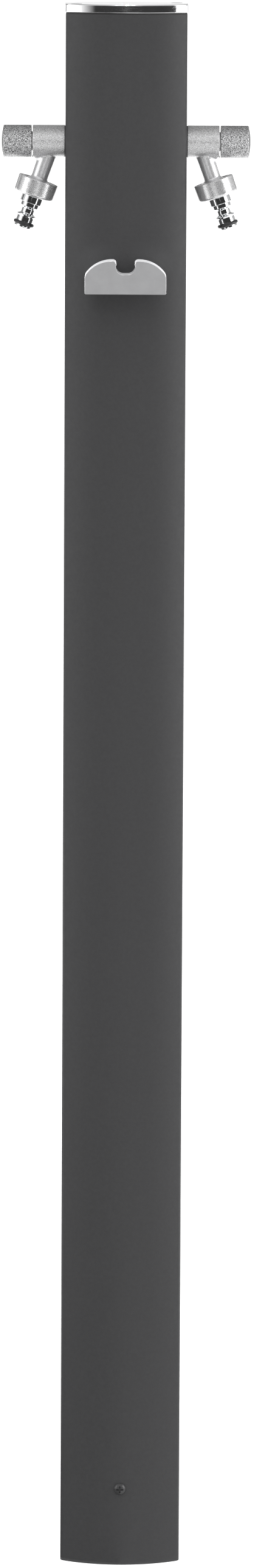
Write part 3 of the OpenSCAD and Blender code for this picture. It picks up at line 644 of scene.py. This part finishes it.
class STANDPIPE_OT_post(bpy.types.Operator):
    """Builds the coated post with its bolt and tap holes"""

    bl_idname = "standpipe.post"
    bl_label = "Post"

    tap_hole_r = 10.75 * MM
    hook_hole_r = 3.3 * MM
    screw_hole_r = 2.8 * MM

    def execute(self, context):
        sizes = context.scene.standpipe_post
        wall = rounded([
            (0, 0, sizes.end_round), (0, POST_TOP, sizes.end_round),
            (sizes.wall, POST_TOP, sizes.end_round / 2), (sizes.wall, 0, sizes.end_round / 2),
        ])
        tube = loft(post_outline(sizes), wall, lambda x, y, height: Vector((x, y, height)), ring=True)
        across = 2 * POST_HALF_W + 2 * CUT
        holes = [
            rod(self.tap_hole_r, Vector((-across / 2, 0, TAP_Z)), (1, 0, 0), across, WIDE_SIDES),
            rod(self.hook_hole_r, Vector((0, 0, HOOK_BOLT_Z)), (0, -1, 0), across),
            rod(self.screw_hole_r, Vector((0, across / 2, BASE_SCREW_Z)), (0, -1, 0), across),
        ]
        tube = combined(tube, joined(holes), "DIFFERENCE")
        coat = powder_coat("powder_coat", sizes.coat, sizes.coat_sheen, sizes.coat_roughness)
        piece("post_extrusion", tube, coat, "post_coat", STAND, "post")
        return {"FINISHED"}


class STANDPIPE_OT_cap(bpy.types.Operator):
    """Builds the polished cap with its two countersunk holes"""

    bl_idname = "standpipe.cap"
    bl_label = "Cap"

    screw_r = 2.3 * MM
    sink_low_r = 2.05 * MM
    sink_depth = 2.3 * MM

    def execute(self, context):
        sizes = context.scene.standpipe_post
        edge = rounded([
            (2 * sizes.cap_round, CAP_LOW, 0), (0, CAP_LOW, sizes.cap_under),
            (0, CAP_TOP, sizes.cap_round), (2 * sizes.cap_round, CAP_TOP, 0),
        ], closed=False)
        rim = inset(post_outline(sizes), -CAP_OVERHANG)
        plate = loft(rim, edge, lambda x, y, height: Vector((x, y, height)))
        low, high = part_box("cap_screws")
        reach = self.screw_head_r()
        places = (
            Vector((low.x + reach, low.y + reach, 0)),
            Vector((high.x - reach, high.y - reach, 0)),
        )
        for place in places:
            sink = turned([
                (0, CAP_LOW - CUT), (self.screw_r, CAP_LOW - CUT),
                (self.screw_r, CAP_TOP - self.sink_depth),
                (self.sink_low_r + self.sink_depth + CUT, CAP_TOP + CUT), (0, CAP_TOP + CUT),
            ], Matrix.Translation(place), BORE_SIDES)
            plate = combined(plate, sink, "DIFFERENCE")
        metal = polished_metal("polished_aluminium", sizes.cap_colour, sizes.cap_roughness)
        piece("cap_cover", plate, metal, "cap_metal", STAND, "cap")
        return {"FINISHED"}

    def screw_head_r(self):
        """Radius of a cap screw's head, from the frame."""
        corners = [v.co for v in frame["nodes"]["cap_screws"].data.vertices]
        left = [c for c in corners if c.x < 0]
        return (max(c.x for c in left) - min(c.x for c in left)) / 2


class STANDPIPE_OT_hook(bpy.types.Operator):
    """Builds the slotted hook block with its socket and threaded hole"""

    bl_idname = "standpipe.hook"
    bl_label = "Hook"

    spigot_r = 5.05 * MM
    spigot_depth = 2.1 * MM
    bolt_r = 3.05 * MM
    bolt_depth = 11 * MM

    def execute(self, context):
        sizes = context.scene.standpipe_hook
        thick = HOOK_HIGH.y - HOOK_LOW.y
        edge = rounded([
            (2 * sizes.edge, 0, 0), (0, 0, sizes.edge),
            (0, thick, sizes.edge), (2 * sizes.edge, thick, 0),
        ], closed=False)
        block = loft(self.outline(sizes), edge, self.standing)
        socket = turned([
            (0, -CUT), (self.spigot_r, -CUT), (self.spigot_r, self.spigot_depth),
            (self.bolt_r, self.spigot_depth), (self.bolt_r, self.bolt_depth), (0, self.bolt_depth),
        ], aimed(Vector((0, HOOK_HIGH.y, HOOK_BOLT_Z)), (0, -1, 0)), BORE_SIDES)
        block = combined(block, socket, "DIFFERENCE")
        metal = hazed_metal("satin_aluminium", sizes.colour, sizes.metal, sizes.roughness)
        piece("hook_body", block, metal, "hook_metal", STAND, "hook_block")
        dress(frame["nodes"]["hook_spacer"], metal)
        return {"FINISHED"}

    def standing(self, x, height, depth):
        """A point of the block's outline, at a depth in front of its rear face."""
        return Vector((x, HOOK_HIGH.y - depth, HOOK_LOW.z + height))

    def outline(self, sizes):
        """The block's outline: lower corners, shoulders, lobes, lips and the slot."""
        half = HOOK_HIGH.x
        height = HOOK_HIGH.z - HOOK_LOW.z
        lip_x = sizes.slot_width / 2 + sizes.lip
        lip_y = height - sizes.lip
        lobe_x = lip_x + sizes.lobe_set
        lobe_y = height - sizes.lobe
        shoulder_x = half - sizes.shoulder
        swing = math.degrees(math.acos((shoulder_x - lobe_x) / (sizes.lobe - sizes.shoulder)))
        shoulder_y = lobe_y + (sizes.lobe - sizes.shoulder) * math.sin(math.radians(swing))
        crest = 90 + math.degrees(math.asin((lobe_x - lip_x) / sizes.lobe))
        bulge_x = sizes.slot_width / 2 + sizes.slot_bulge - sizes.slot_corner
        bulge_y = sizes.slot_floor + sizes.slot_corner
        meet = math.degrees(math.acos((sizes.slot_width / 2 - bulge_x) / sizes.slot_corner))
        corner_x = half - sizes.corner
        return outline_of([
            ((-corner_x, sizes.corner), sizes.corner, 180, 270, CORNER_STEPS),
            ((corner_x, sizes.corner), sizes.corner, 270, 360, CORNER_STEPS),
            ((shoulder_x, shoulder_y), sizes.shoulder, 0, swing, 2 * CORNER_STEPS),
            ((lobe_x, lobe_y), sizes.lobe, swing, crest, 6 * CORNER_STEPS),
            ((lip_x, lip_y), sizes.lip, 90, 180, 2 * CORNER_STEPS),
            ((bulge_x, bulge_y), sizes.slot_corner, meet, -90, 3 * CORNER_STEPS),
            ((-bulge_x, bulge_y), sizes.slot_corner, -90, -180 - meet, 3 * CORNER_STEPS),
            ((-lip_x, lip_y), sizes.lip, 0, 90, 2 * CORNER_STEPS),
            ((-lobe_x, lobe_y), sizes.lobe, 180 - crest, 180 - swing, 6 * CORNER_STEPS),
            ((-shoulder_x, shoulder_y), sizes.shoulder, 180 - swing, 180, 2 * CORNER_STEPS),
        ])


def satin_chrome(taps):
    """The one satin chrome that the tap bodies and their necks share."""
    made = bpy.data.materials.get("blasted_chrome")
    return made or satin_metal(
        "blasted_chrome", taps.colour, taps.metal, taps.roughness, taps.grain, taps.contrast,
        taps.grain_depth, THIN_LACQUER_IOR)


def spout_chrome(taps):
    """The smoother chrome of the spouts."""
    made = bpy.data.materials.get("spout_chrome")
    return made or satin_metal(
        "spout_chrome", taps.spout_colour, taps.spout_metal, taps.spout_roughness, taps.grain,
        taps.spout_contrast, taps.grain_depth, THICK_LACQUER_IOR)


def spout_solid(taps, origin):
    """The slanted spout with its shoulder, blended into the round tap body by a rolled fillet."""
    sink = 0.03 * MM
    inside = 1.5 * MM
    foot_edge = 0.3 * MM
    down = Vector((math.sin(SPOUT_TILT), 0, -math.cos(SPOUT_TILT)))
    out = Vector((math.cos(SPOUT_TILT), 0, math.sin(SPOUT_TILT)))
    front = Vector((0, 1, 0))
    start = Vector((SPOUT_U, 0, 0))
    shoulder_top = SHOULDER_T - taps.shoulder_fillet
    slope = (taps.root_r - taps.spout_r) / (shoulder_top - TAP_R)
    ball = taps.fillet
    centre_r = taps.root_r + ball
    reach = TAP_R + ball - sink
    foot = [
        (0, SPOUT_END_T), (SHOULDER_R, SPOUT_END_T),
        (SHOULDER_R, SHOULDER_T + foot_edge), (SHOULDER_R - foot_edge, SHOULDER_T),
    ]
    hollow = (taps.spout_r + taps.shoulder_fillet, shoulder_top)
    foot += [(p.x, p.y) for p in arc(hollow, taps.shoulder_fillet, 90, 180, CORNER_STEPS + 2)]
    columns = []
    for k in range(TURN_SIDES):
        turn = math.tau * k / TURN_SIDES
        away = out * math.cos(turn) + front * math.sin(turn)
        aside = centre_r * math.sin(turn)
        lift = centre_r * math.cos(turn) * math.sin(SPOUT_TILT)
        meet = (math.sqrt(reach ** 2 - aside ** 2) + lift) / math.cos(SPOUT_TILT)
        column = [start + down * t + away * r for r, t in foot]
        for i in range(1, SPOUT_STEPS):
            t = shoulder_top + (meet - shoulder_top) * i / SPOUT_STEPS
            column.append(start + down * t + away * (taps.spout_r + slope * (shoulder_top - t)))
        meet_r = taps.spout_r + slope * (shoulder_top - meet)
        centre = start + down * meet + away * (meet_r + ball)
        across = Vector((0, centre.y, centre.z)).normalized()
        for i in range(FILLET_STEPS + 1):
            column.append(centre - away.slerp(across, i / FILLET_STEPS) * ball)
        column.append(column[-1] - across * inside)
        columns.append(column)
    mesh = bmesh.new()
    tip = mesh.verts.new(origin @ columns[0][0])
    rings = [[mesh.verts.new(origin @ c[i]) for c in columns] for i in range(1, len(columns[0]))]
    for k in range(TURN_SIDES):
        mesh.faces.new((tip, rings[0][k - 1], rings[0][k]))
        for low, high in zip(rings, rings[1:]):
            mesh.faces.new((low[k - 1], low[k], high[k], high[k - 1]))
    middle = sum((v.co for v in rings[-1]), Vector()) / TURN_SIDES
    crest = mesh.verts.new(middle)
    for k in range(TURN_SIDES):
        mesh.faces.new((rings[-1][k - 1], rings[-1][k], crest))
    bmesh.ops.recalc_face_normals(mesh, faces=mesh.faces)
    return mesh


class STANDPIPE_OT_tap_bodies(bpy.types.Operator):
    """Builds the two tap bodies, each with its slanted spout"""

    bl_idname = "standpipe.tap_bodies"
    bl_label = "Tap bodies"

    rear_edge_share = 0.6

    def execute(self, context):
        taps = context.scene.standpipe_taps
        end = KNOB_IN - taps.knob_gap
        barrel = rounded([
            (WAY_R, SHANK_IN, 0), (HALF_INCH_R, SHANK_IN, 0), (HALF_INCH_R, GASKET_OUT, 0),
            (TAP_R, GASKET_OUT, self.rear_edge_share * taps.edge), (TAP_R, end, taps.edge),
            (CARTRIDGE_BORE_R, end, 0), (CARTRIDGE_BORE_R, SEAT_U, 0), (WAY_R, SEAT_U, 0),
        ])
        for side in SIDES:
            body = turned(barrel, tap_place(side))
            body = combined(body, spout_solid(taps, tap_origin(side)), "UNION")
            place = spout_place(side)
            bore = turned([
                (0, WAY_R), (SPOUT_BORE_R, WAY_R), (SPOUT_BORE_R, SPOUT_END_T + CUT),
                (0, SPOUT_END_T + CUT),
            ], place, BORE_SIDES)
            body = combined(body, bore, "DIFFERENCE")
            chrome = satin_chrome(taps)
            made = piece(f"tap_casting_{side}", body, chrome, "satin_chrome", STAND, f"tap_body_{side}")
            made.data.materials.append(spout_chrome(taps))
            for face in made.data.polygons:
                face.material_index = int(face.center.z < TAP_Z - TAP_R)
        return {"FINISHED"}


class STANDPIPE_OT_knobs(bpy.types.Operator):
    """Builds the two domed quarter-turn knobs"""

    bl_idname = "standpipe.knobs"
    bl_label = "Knobs"

    mouth_edge_share = 0.5

    def execute(self, context):
        taps = context.scene.standpipe_taps
        dome_r = (TAP_R ** 2 + taps.knob_dome ** 2) / (2 * taps.knob_dome)
        swing = math.degrees(math.asin(TAP_R / dome_r))
        dome = [(p.y, p.x, 0) for p in arc((KNOB_OUT - dome_r, 0), dome_r, swing, 0, DOME_STEPS)]
        inner_end = SPINDLE_OUT + KNOB_END_GAP
        neck_end = NECK_OUT + KNOB_END_GAP
        profile = rounded([
            (0, inner_end, 0), (SPINDLE_BORE_R, inner_end, 0), (SPINDLE_BORE_R, neck_end, 0),
            (NECK_BORE_R, neck_end, 0), (NECK_BORE_R, KNOB_IN, self.mouth_edge_share * taps.edge),
            (TAP_R, KNOB_IN, taps.edge), (TAP_R, KNOB_OUT - taps.knob_dome, taps.knob_edge), *dome[1:],
        ])
        chrome = satin_metal(
            "knob_chrome", taps.knob_colour, taps.metal, taps.roughness, taps.knob_grain,
            taps.knob_contrast, taps.knob_grain_depth, THIN_LACQUER_IOR, taps.knob_rim)
        for side in SIDES:
            knob = turned(profile, tap_place(side))
            mouth = tap_origin(side) @ Vector((KNOB_SCREW_U, 0, -TAP_R - CUT))
            knob = combined(knob, rod(KNOB_SCREW_R, mouth, (0, 0, 1), TAP_R + CUT), "DIFFERENCE")
            body = f"knob_{side}"
            piece(f"knob_grip_{side}", knob, chrome, "satin_chrome", body, body)
        return {"FINISHED"}


class STANDPIPE_OT_union_nuts(bpy.types.Operator):
    """Builds the two round union nuts under the spouts"""

    bl_idname = "standpipe.union_nuts"
    bl_label = "Union nuts"

    bore_edge_share = 0.4

    def execute(self, context):
        taps = context.scene.standpipe_taps
        bore_edge = self.bore_edge_share * taps.edge
        profile = rounded([
            (NUT_BORE_R, NUT_TOP_T, bore_edge), (taps.nut_r, NUT_TOP_T, taps.edge),
            (taps.nut_low_r, NUT_END_T, taps.nut_round), (COLLAR_BORE_R, NUT_END_T, bore_edge),
            (COLLAR_BORE_R, NUT_END_T - NUT_LIP, 0), (NUT_BORE_R, NUT_END_T - NUT_LIP, 0),
        ])
        chrome = satin_metal(
            "nut_chrome", taps.nut_colour, taps.nut_metal, taps.nut_roughness, taps.grain,
            taps.nut_contrast, taps.nut_grain_depth, THICK_LACQUER_IOR)
        for side in SIDES:
            nut = turned(profile, spout_place(side))
            piece(f"union_ring_{side}", nut, chrome, "satin_chrome", STAND, f"union_nut_{side}")
        return {"FINISHED"}


class STANDPIPE_OT_nipples(bpy.types.Operator):
    """Builds the two bright hose nipples and their sealing rings"""

    bl_idname = "standpipe.nipples"
    bl_label = "Hose nipples"

    small = 0.2 * MM
    soft = 0.8 * MM

    def execute(self, context):
        taps = context.scene.standpipe_taps
        chrome = mirror_metal("mirror_chrome", taps.bright, taps.bright_roughness)
        rubber = rubber_finish()
        profile = rounded([
            (NIPPLE_BORE_R, FLANGE_T, 0), (FLANGE_R, FLANGE_T, 0), (FLANGE_R, NUT_END_T - NUT_LIP, 0),
            (COLLAR_ROOT_R, NUT_END_T - NUT_LIP, 0), (COLLAR_ROOT_R, COLLAR_FROM_T, 0),
            (COLLAR_R, COLLAR_FROM_T, self.small), (COLLAR_R, COLLAR_END_T, 2 * self.small),
            (STEP_R, COLLAR_END_T, 0.5 * self.small), (STEP_R, STEP_END_T, 1.5 * self.small),
            (NECK_R, NECK_FROM_T, self.soft), (NECK_R, NECK_TO_T, self.soft),
            (RIDGE_R, RIDGE_FROM_T, self.small), (RIDGE_R, RIDGE_TO_T, self.small),
            (GUIDE_R, GUIDE_T, self.small), (GUIDE_R, GROOVE_FROM_T, 0.5 * self.small),
            (GROOVE_R, GROOVE_FROM_T, 0), (GROOVE_R, GROOVE_TO_T, 0),
            (GUIDE_R, GROOVE_TO_T, 0.5 * self.small), (GUIDE_R, TIP_T, self.soft),
            (NIPPLE_BORE_R, TIP_T, 2 * self.small),
        ])
        seal_t = (GROOVE_FROM_T + GROOVE_TO_T) / 2
        circle = arc((SEAL_MID_R, seal_t), SEAL_SECTION_R, 0, 360, SEAL_STEPS)
        section = [(p.x, p.y) for p in circle[1:]]
        for side in SIDES:
            place = spout_place(side)
            nipple = turned(profile, place)
            piece(f"nipple_{side}", nipple, chrome, "bright_chrome", STAND, f"hose_nipple_{side}")
            seal = turned(section, place)
            piece(f"sealing_ring_{side}", seal, rubber, "black_rubber", STAND, f"nipple_seal_{side}")
        return {"FINISHED"}


class STANDPIPE_OT_foot_screws(bpy.types.Operator):
    """Builds the two coated pan-head screws near the ground"""

    bl_idname = "standpipe.foot_screws"
    bl_label = "Foot screws"

    shank_r = 2.5 * MM
    shank_len = 10 * MM
    head_h = 3 * MM
    dome_share = 1.2
    cross_len = 5.3 * MM
    cross_width = 1.2 * MM
    cross_depth = 1.9 * MM

    def execute(self, context):
        head_r = BASE_SCREW_R
        dome_r = self.dome_share * head_r
        swing = math.degrees(math.asin(head_r / dome_r))
        dome = [(p.y, p.x, 0) for p in arc((self.head_h - dome_r, 0), dome_r, swing, 0, DOME_STEPS)]
        profile = rounded([
            (0, -self.shank_len, 0), (self.shank_r, -self.shank_len, 0), (self.shank_r, 0, 0),
            (head_r, 0, 0), (head_r, dome[0][1], 0), *dome[1:],
        ])
        lift = Matrix.Translation((0, 0, self.head_h))
        slot = Matrix.Diagonal((self.cross_len, self.cross_width, 2 * self.cross_depth, 1))
        screws = []
        for way in (-1, 1):
            place = aimed(Vector((0, way * POST_HALF_D, BASE_SCREW_Z)), (0, way, 0))
            screw = turned(profile, place, WIDE_SIDES)
            for turn in (0, math.pi / 2):
                arm = bmesh.new()
                spin = Matrix.Rotation(turn, 4, "Z")
                bmesh.ops.create_cube(arm, size=1, matrix=place @ spin @ lift @ slot)
                screw = combined(screw, arm, "DIFFERENCE")
            screws.append(screw)
        sizes = context.scene.standpipe_post
        coat = powder_coat("screw_coat", sizes.coat, sizes.screw_sheen, sizes.screw_roughness)
        piece("foot_screw_pair", joined(screws), coat, "post_coat", STAND, "base_screws")
        return {"FINISHED"}


class STANDPIPE_OT_inner_pieces(bpy.types.Operator):
    """Gives the plug, the screws and the water way their materials"""

    bl_idname = "standpipe.inner_pieces"
    bl_label = "Inner pieces"

    def execute(self, context):
        finishes = {
            "black_plastic": moulded(
                "plug_plastic", (0.014, 0.014, 0.014), roughness=0.55, grain=0.5 * MM),
            "steel": turned_metal("zinc_steel", (0.5, 0.5, 0.52), roughness=0.3),
            "foot_metal": turned_metal("cast_aluminium", (0.46, 0.46, 0.47), roughness=0.48),
            "pipe_plastic": moulded("pressure_pipe", (0.8, 0.8, 0.77), roughness=0.4, grain=0.6 * MM),
            "clip_plastic": moulded("clip_moulding", (0.17, 0.17, 0.18), roughness=0.5, grain=0.5 * MM),
            "brass": turned_metal("machined_brass", (0.7, 0.5, 0.2), roughness=0.28),
            "disc_ceramic": moulded(
                "fired_ceramic", (0.86, 0.85, 0.81), roughness=0.22, grain=0.5 * MM),
            "black_rubber": rubber_finish(),
            "satin_chrome": satin_chrome(context.scene.standpipe_taps),
        }
        for part in frame["record"]["subparts"]:
            node = frame["nodes"][part["node"]]
            if not node.hide_render and part["material_slot"] in finishes:
                dress(node, finishes[part["material_slot"]])
        return {"FINISHED"}


def card_finish(name, glow):
    """A nearly black, matt card that shines evenly with a light of its own."""
    material, shader = finish(name, colour=(0.01, 0.01, 0.01), metallic=0, roughness=1)
    shader.inputs["Emission Color"].default_value = (1, 1, 1, 1)
    shader.inputs["Emission Strength"].default_value = glow
    return material


def fading_finish(name, dark_x, dark, bright_x, bright):
    """A card that brightens across the studio from one place to another."""
    material = card_finish(name, bright)
    nodes = material.node_tree.nodes
    place = nodes.new("ShaderNodeTexCoord")
    across = nodes.new("ShaderNodeSeparateXYZ")
    fade = ranged(material.node_tree, across.outputs["X"], (bright_x, dark_x), (bright, dark))
    links = material.node_tree.links
    links.new(place.outputs["Object"], across.inputs["Vector"])
    links.new(fade.outputs["Result"], nodes["Principled BSDF"].inputs["Emission Strength"])
    return material


def upright(start, end, low, high):
    """Corners of a card that stands over a line on the floor, between two heights."""
    return [(*start, low), (*end, low), (*end, high), (*start, high)]


def lying(left, right, near, far, lift):
    """Corners of a card that lies just over the floor."""
    return [(left, near, lift), (right, near, lift), (right, far, lift), (left, far, lift)]


def card(name, corners, material):
    """A flat studio card that only shows in reflections."""
    mesh = bmesh.new()
    mesh.faces.new([mesh.verts.new(corner) for corner in corners])
    made = placed(name, mesh_data(name, mesh))
    made.data.materials.append(material)
    made.visible_camera = False
    made.visible_diffuse = False
    made.visible_shadow = False
    made.visible_transmission = False


def lamp(name, data, place, target):
    """Puts a light into the scene, aimed at a target and out of sight of the camera."""
    made = placed(name, data)
    aim = (target - place).to_track_quat("-Z", "Y").to_matrix().to_4x4()
    made.matrix_world = Matrix.Translation(place) @ aim
    made.visible_camera = False


class STANDPIPE_OT_stage(bpy.types.Operator):
    """Sets the floor, the studio light and the camera"""

    bl_idname = "standpipe.stage"
    bl_label = "Stage"

    # The floor
    floor_r = 40
    floor_sides = 96
    floor_roughness = 0.8
    floor_cloud = 0.4
    floor_mottle = 0.01

    # The camera's film, in millimetres, and how far it sees
    film_width = 36
    sight = 200

    # The white band round the horizon, and the direction in which the studio grows grey
    band_full = math.sin(math.radians(3))
    band_gone = math.sin(math.radians(11))
    grey_lean = math.radians(40)
    grey_reach = (-0.5, 1)

    # The lights; a softbox is its width, its height and its place
    sky_angle = math.radians(70)
    sky_turn = (math.radians(30), math.radians(-12), 0)
    box_target = Vector((0, 0, 1))
    right_box = (1.3, 2.2, Vector((2.3, -0.7, 1.3)))
    left_box = (0.9, 2.2, Vector((-2.3, -0.9, 1.4)))
    spot_away = 0.8
    spot_height = 1.2
    spot_across = 20 * MM
    spot_behind = 2 * MM
    spot_below = 6 * MM
    spot_cone = math.radians(3.6)
    spot_blend = 0.3
    spot_r = 8 * MM
    top_spot_above = 1
    top_spot_cone = math.radians(4.5)

    # The cards in front: the waisted pair in the middle, with a gap between them, then the others
    front_y = -2.5
    front_top = 1.9
    waist_x = 0.8
    waist_low = 0.77
    waist_high = 1.21
    gap_x = 0.3
    gap_low = 0.9
    gap_high = 0.99
    end_low = 0.42
    end_high = 1.45
    fade_from_x = -1.8
    fade_to_x = -3.2
    right_x = 4.4

    # The cards on the floor, by their left, right, near and far edges; two end at the light one
    lift = 2 * MM
    left_card = (-1.1, 0, -1.3)
    right_card = (0, 1.2, -2)
    front_card = (-3.5, 3.5, -2.5, -2)
    light_y = (0.33, 2.93)
    light_x = 2

    # The cards behind; a wing is the two ends of its foot
    cap_card_x = 0.2
    cap_card_y = 0.6
    cap_card_h = 90 * MM
    rear_x = 1.7
    rear_y = 3
    rear_z = (0.63, 1.53)
    left_wing = ((-2.357, 0.887), (-2.043, 1.513))
    right_wing = ((2.278, 1.043), (2.122, 1.357))
    wing_z = (0.45, 2)

    def execute(self, context):
        stage = context.scene.standpipe_stage
        context.scene.view_settings.view_transform = "Standard"
        self.floor(stage)
        self.surroundings(context.scene, stage)
        self.lights(stage)
        self.cards(stage)
        self.camera(context.scene, stage)
        return {"FINISHED"}

    def floor(self, stage):
        """A wide pale floor."""
        material, shader = finish("pale_floor", stage.floor, 0, self.floor_roughness)
        shader.inputs["Emission Color"].default_value = (1, 1, 1, 1)
        shader.inputs["Emission Strength"].default_value = stage.floor_glow
        clouds = speckle(material, self.floor_cloud, detail=3)
        tinted(material, shader, clouds, stage.floor, self.floor_mottle)
        mesh = bmesh.new()
        bmesh.ops.create_circle(mesh, cap_ends=True, radius=self.floor_r, segments=self.floor_sides)
        made = placed("floor", mesh_data("floor", mesh))
        made.data.materials.append(material)

    def surroundings(self, scene, stage):
        """A studio that is white round the horizon and fades to grey above and behind."""
        world = bpy.data.worlds.new("studio")
        world.use_nodes = True
        nodes = world.node_tree.nodes
        links = world.node_tree.links
        where = nodes.new("ShaderNodeTexCoord")
        up = Vector((0, 0, 1))
        leaning = Vector((0, math.sin(self.grey_lean), math.cos(self.grey_lean)))
        glows = []
        for towards, span, results in (
            (up, (self.band_full, self.band_gone), (stage.horizon, 0)),
            (leaning, self.grey_reach, (stage.front, stage.overhead)),
        ):
            along = nodes.new("ShaderNodeVectorMath")
            along.operation = "DOT_PRODUCT"
            along.inputs[1].default_value = towards
            links.new(where.outputs["Generated"], along.inputs[0])
            fade = ranged(world.node_tree, along.outputs["Value"], span, results)
            fade.interpolation_type = "SMOOTHSTEP"
            glows.append(fade.outputs["Result"])
        brighter = nodes.new("ShaderNodeMath")
        brighter.operation = "MAXIMUM"
        for socket, glow in zip(brighter.inputs, glows):
            links.new(glow, socket)
        links.new(brighter.outputs["Value"], nodes["Background"].inputs["Strength"])
        nodes["Background"].inputs["Color"].default_value = (1, 1, 1, 1)
        scene.world = world

    def lights(self, stage):
        """A soft light from above, two tall softboxes and small lights beside and above the hook."""
        sky = bpy.data.lights.new("top_light", "SUN")
        sky.energy = stage.sky
        sky.angle = self.sky_angle
        above = placed("top_light", sky)
        above.rotation_euler = self.sky_turn
        above.visible_glossy = False
        for name, energy, (width, height, place) in (
            ("right_softbox", stage.right_box, self.right_box),
            ("left_softbox", stage.left_box, self.left_box),
        ):
            box = bpy.data.lights.new(name, "AREA")
            box.shape = "RECTANGLE"
            box.size = width
            box.size_y = height
            box.energy = energy
            lamp(name, box, place, self.box_target)
        depth = HOOK_LOW.y + self.spot_behind
        for side, way in SIDES.items():
            place = Vector((way * self.spot_away, depth, self.spot_height))
            lobe = Vector((way * self.spot_across, depth, HOOK_HIGH.z - self.spot_below))
            self.spot(f"hook_light_{side}", stage.hook_light, self.spot_cone, place, lobe)
        middle = (HOOK_LOW + HOOK_HIGH) / 2
        above_hook = middle + Vector((0, 0, self.top_spot_above))
        self.spot("hook_light_top", stage.hook_top_light, self.top_spot_cone, above_hook, middle)

    def spot(self, name, energy, cone, place, target):
        """A small light that only reaches its target."""
        light = bpy.data.lights.new(name, "SPOT")
        light.energy = energy
        light.spot_size = cone
        light.spot_blend = self.spot_blend
        light.shadow_soft_size = self.spot_r
        lamp(name, light, place, target)

    def cards(self, stage):
        """Dark and bright cards that the metal mirrors."""
        dark = card_finish("dark_card", stage.dark_card)
        grey = card_finish("grey_card", stage.grey_card)
        white = card_finish("white_card", stage.white_card)
        fading = fading_finish(
            "fading_card", self.fade_from_x, stage.dark_card, self.fade_to_x, stage.front)
        pale = card_finish("pale_card", stage.cap_card)
        dim = card_finish("dim_card", stage.dim_card)
        self.waisted(dark)
        y = self.front_y
        top = self.front_top
        card("front_card_left", upright((self.fade_from_x, y), (-self.waist_x, y), 0, top), dark)
        card("front_card_fade", upright((self.fade_to_x, y), (self.fade_from_x, y), 0, top), fading)
        card("front_card_right", upright((self.waist_x, y), (self.right_x, y), 0, top), dark)
        light_near = self.light_y[0]
        card("floor_card_left", lying(*self.left_card, light_near, self.lift), dark)
        card("floor_card_right", lying(*self.right_card, light_near, self.lift), grey)
        card("floor_card_front", lying(*self.front_card, self.lift), dark)
        card("floor_light", lying(-self.light_x, self.light_x, *self.light_y, self.lift), white)
        cap_ends = ((-self.cap_card_x, self.cap_card_y), (self.cap_card_x, self.cap_card_y))
        card("cap_card", upright(*cap_ends, CAP_TOP, CAP_TOP + self.cap_card_h), pale)
        rear_ends = ((-self.rear_x, self.rear_y), (self.rear_x, self.rear_y))
        card("rear_card", upright(*rear_ends, *self.rear_z), dark)
        card("rear_card_left", upright(*self.left_wing, *self.wing_z), dark)
        card("rear_card_right", upright(*self.right_wing, *self.wing_z), dim)

    def waisted(self, material):
        """The two middle cards in front, narrow at the waist, with a small gap between them."""
        x = self.waist_x
        gap_z = (self.gap_low + self.gap_high) / 2
        lower = [
            (-x, self.end_low), (0, self.waist_low), (x, self.end_low), (x, gap_z),
            (self.gap_x, gap_z), (0, self.gap_low), (-self.gap_x, gap_z), (-x, gap_z),
        ]
        upper = [
            (-x, gap_z), (-self.gap_x, gap_z), (0, self.gap_high), (self.gap_x, gap_z),
            (x, gap_z), (x, self.end_high), (0, self.waist_high), (-x, self.end_high),
        ]
        for name, outline in (("front_card_low", lower), ("front_card_high", upper)):
            card(name, [(across, self.front_y, height) for across, height in outline], material)

    def camera(self, scene, stage):
        """The camera at the photograph's place and angle."""
        data = bpy.data.cameras.new("camera")
        data.lens = stage.lens
        data.sensor_width = self.film_width
        data.clip_end = self.sight
        made = placed("camera", data)
        made.matrix_world = (
            Matrix.Translation((stage.camera_x, -stage.camera_away, stage.camera_height))
            @ Matrix.Rotation(math.pi / 2 - stage.camera_tilt, 4, "X")
            @ Matrix.Rotation(stage.camera_roll, 4, "Z"))
        scene.camera = made


SETTINGS = {
    "standpipe_post": StandpipePost,
    "standpipe_hook": StandpipeHook,
    "standpipe_taps": StandpipeTaps,
    "standpipe_stage": StandpipeStage,
}
STEPS = (
    STANDPIPE_OT_post,
    STANDPIPE_OT_cap,
    STANDPIPE_OT_hook,
    STANDPIPE_OT_tap_bodies,
    STANDPIPE_OT_knobs,
    STANDPIPE_OT_union_nuts,
    STANDPIPE_OT_nipples,
    STANDPIPE_OT_foot_screws,
    STANDPIPE_OT_inner_pieces,
    STANDPIPE_OT_stage,
)


class STANDPIPE_PT_panel(bpy.types.Panel):
    """Lists the standpipe's pieces and their settings"""

    bl_idname = "STANDPIPE_PT_panel"
    bl_label = "Standpipe"
    bl_space_type = "VIEW_3D"
    bl_region_type = "UI"
    bl_category = "Standpipe"

    def draw(self, context):
        for step in STEPS:
            self.layout.operator(step.bl_idname)
        for name, group in SETTINGS.items():
            box = self.layout.box()
            for prop in group.__annotations__:
                box.prop(getattr(context.scene, name), prop)


def register():
    """Registers the settings, the operators and the panel."""
    for name, group in SETTINGS.items():
        bpy.utils.register_class(group)
        setattr(bpy.types.Scene, name, PointerProperty(type=group))
    for step in (*STEPS, STANDPIPE_PT_panel):
        bpy.utils.register_class(step)


def unregister():
    """Takes back what register added."""
    for step in (STANDPIPE_PT_panel, *reversed(STEPS)):
        bpy.utils.unregister_class(step)
    for name, group in SETTINGS.items():
        delattr(bpy.types.Scene, name)
        bpy.utils.unregister_class(group)


def main():
    """Builds every piece and the stage."""
    register()
    bpy.ops.standpipe.post()
    bpy.ops.standpipe.cap()
    bpy.ops.standpipe.hook()
    bpy.ops.standpipe.tap_bodies()
    bpy.ops.standpipe.knobs()
    bpy.ops.standpipe.union_nuts()
    bpy.ops.standpipe.nipples()
    bpy.ops.standpipe.foot_screws()
    bpy.ops.standpipe.inner_pieces()
    bpy.ops.standpipe.stage()


if __name__ == "__main__":
    main()
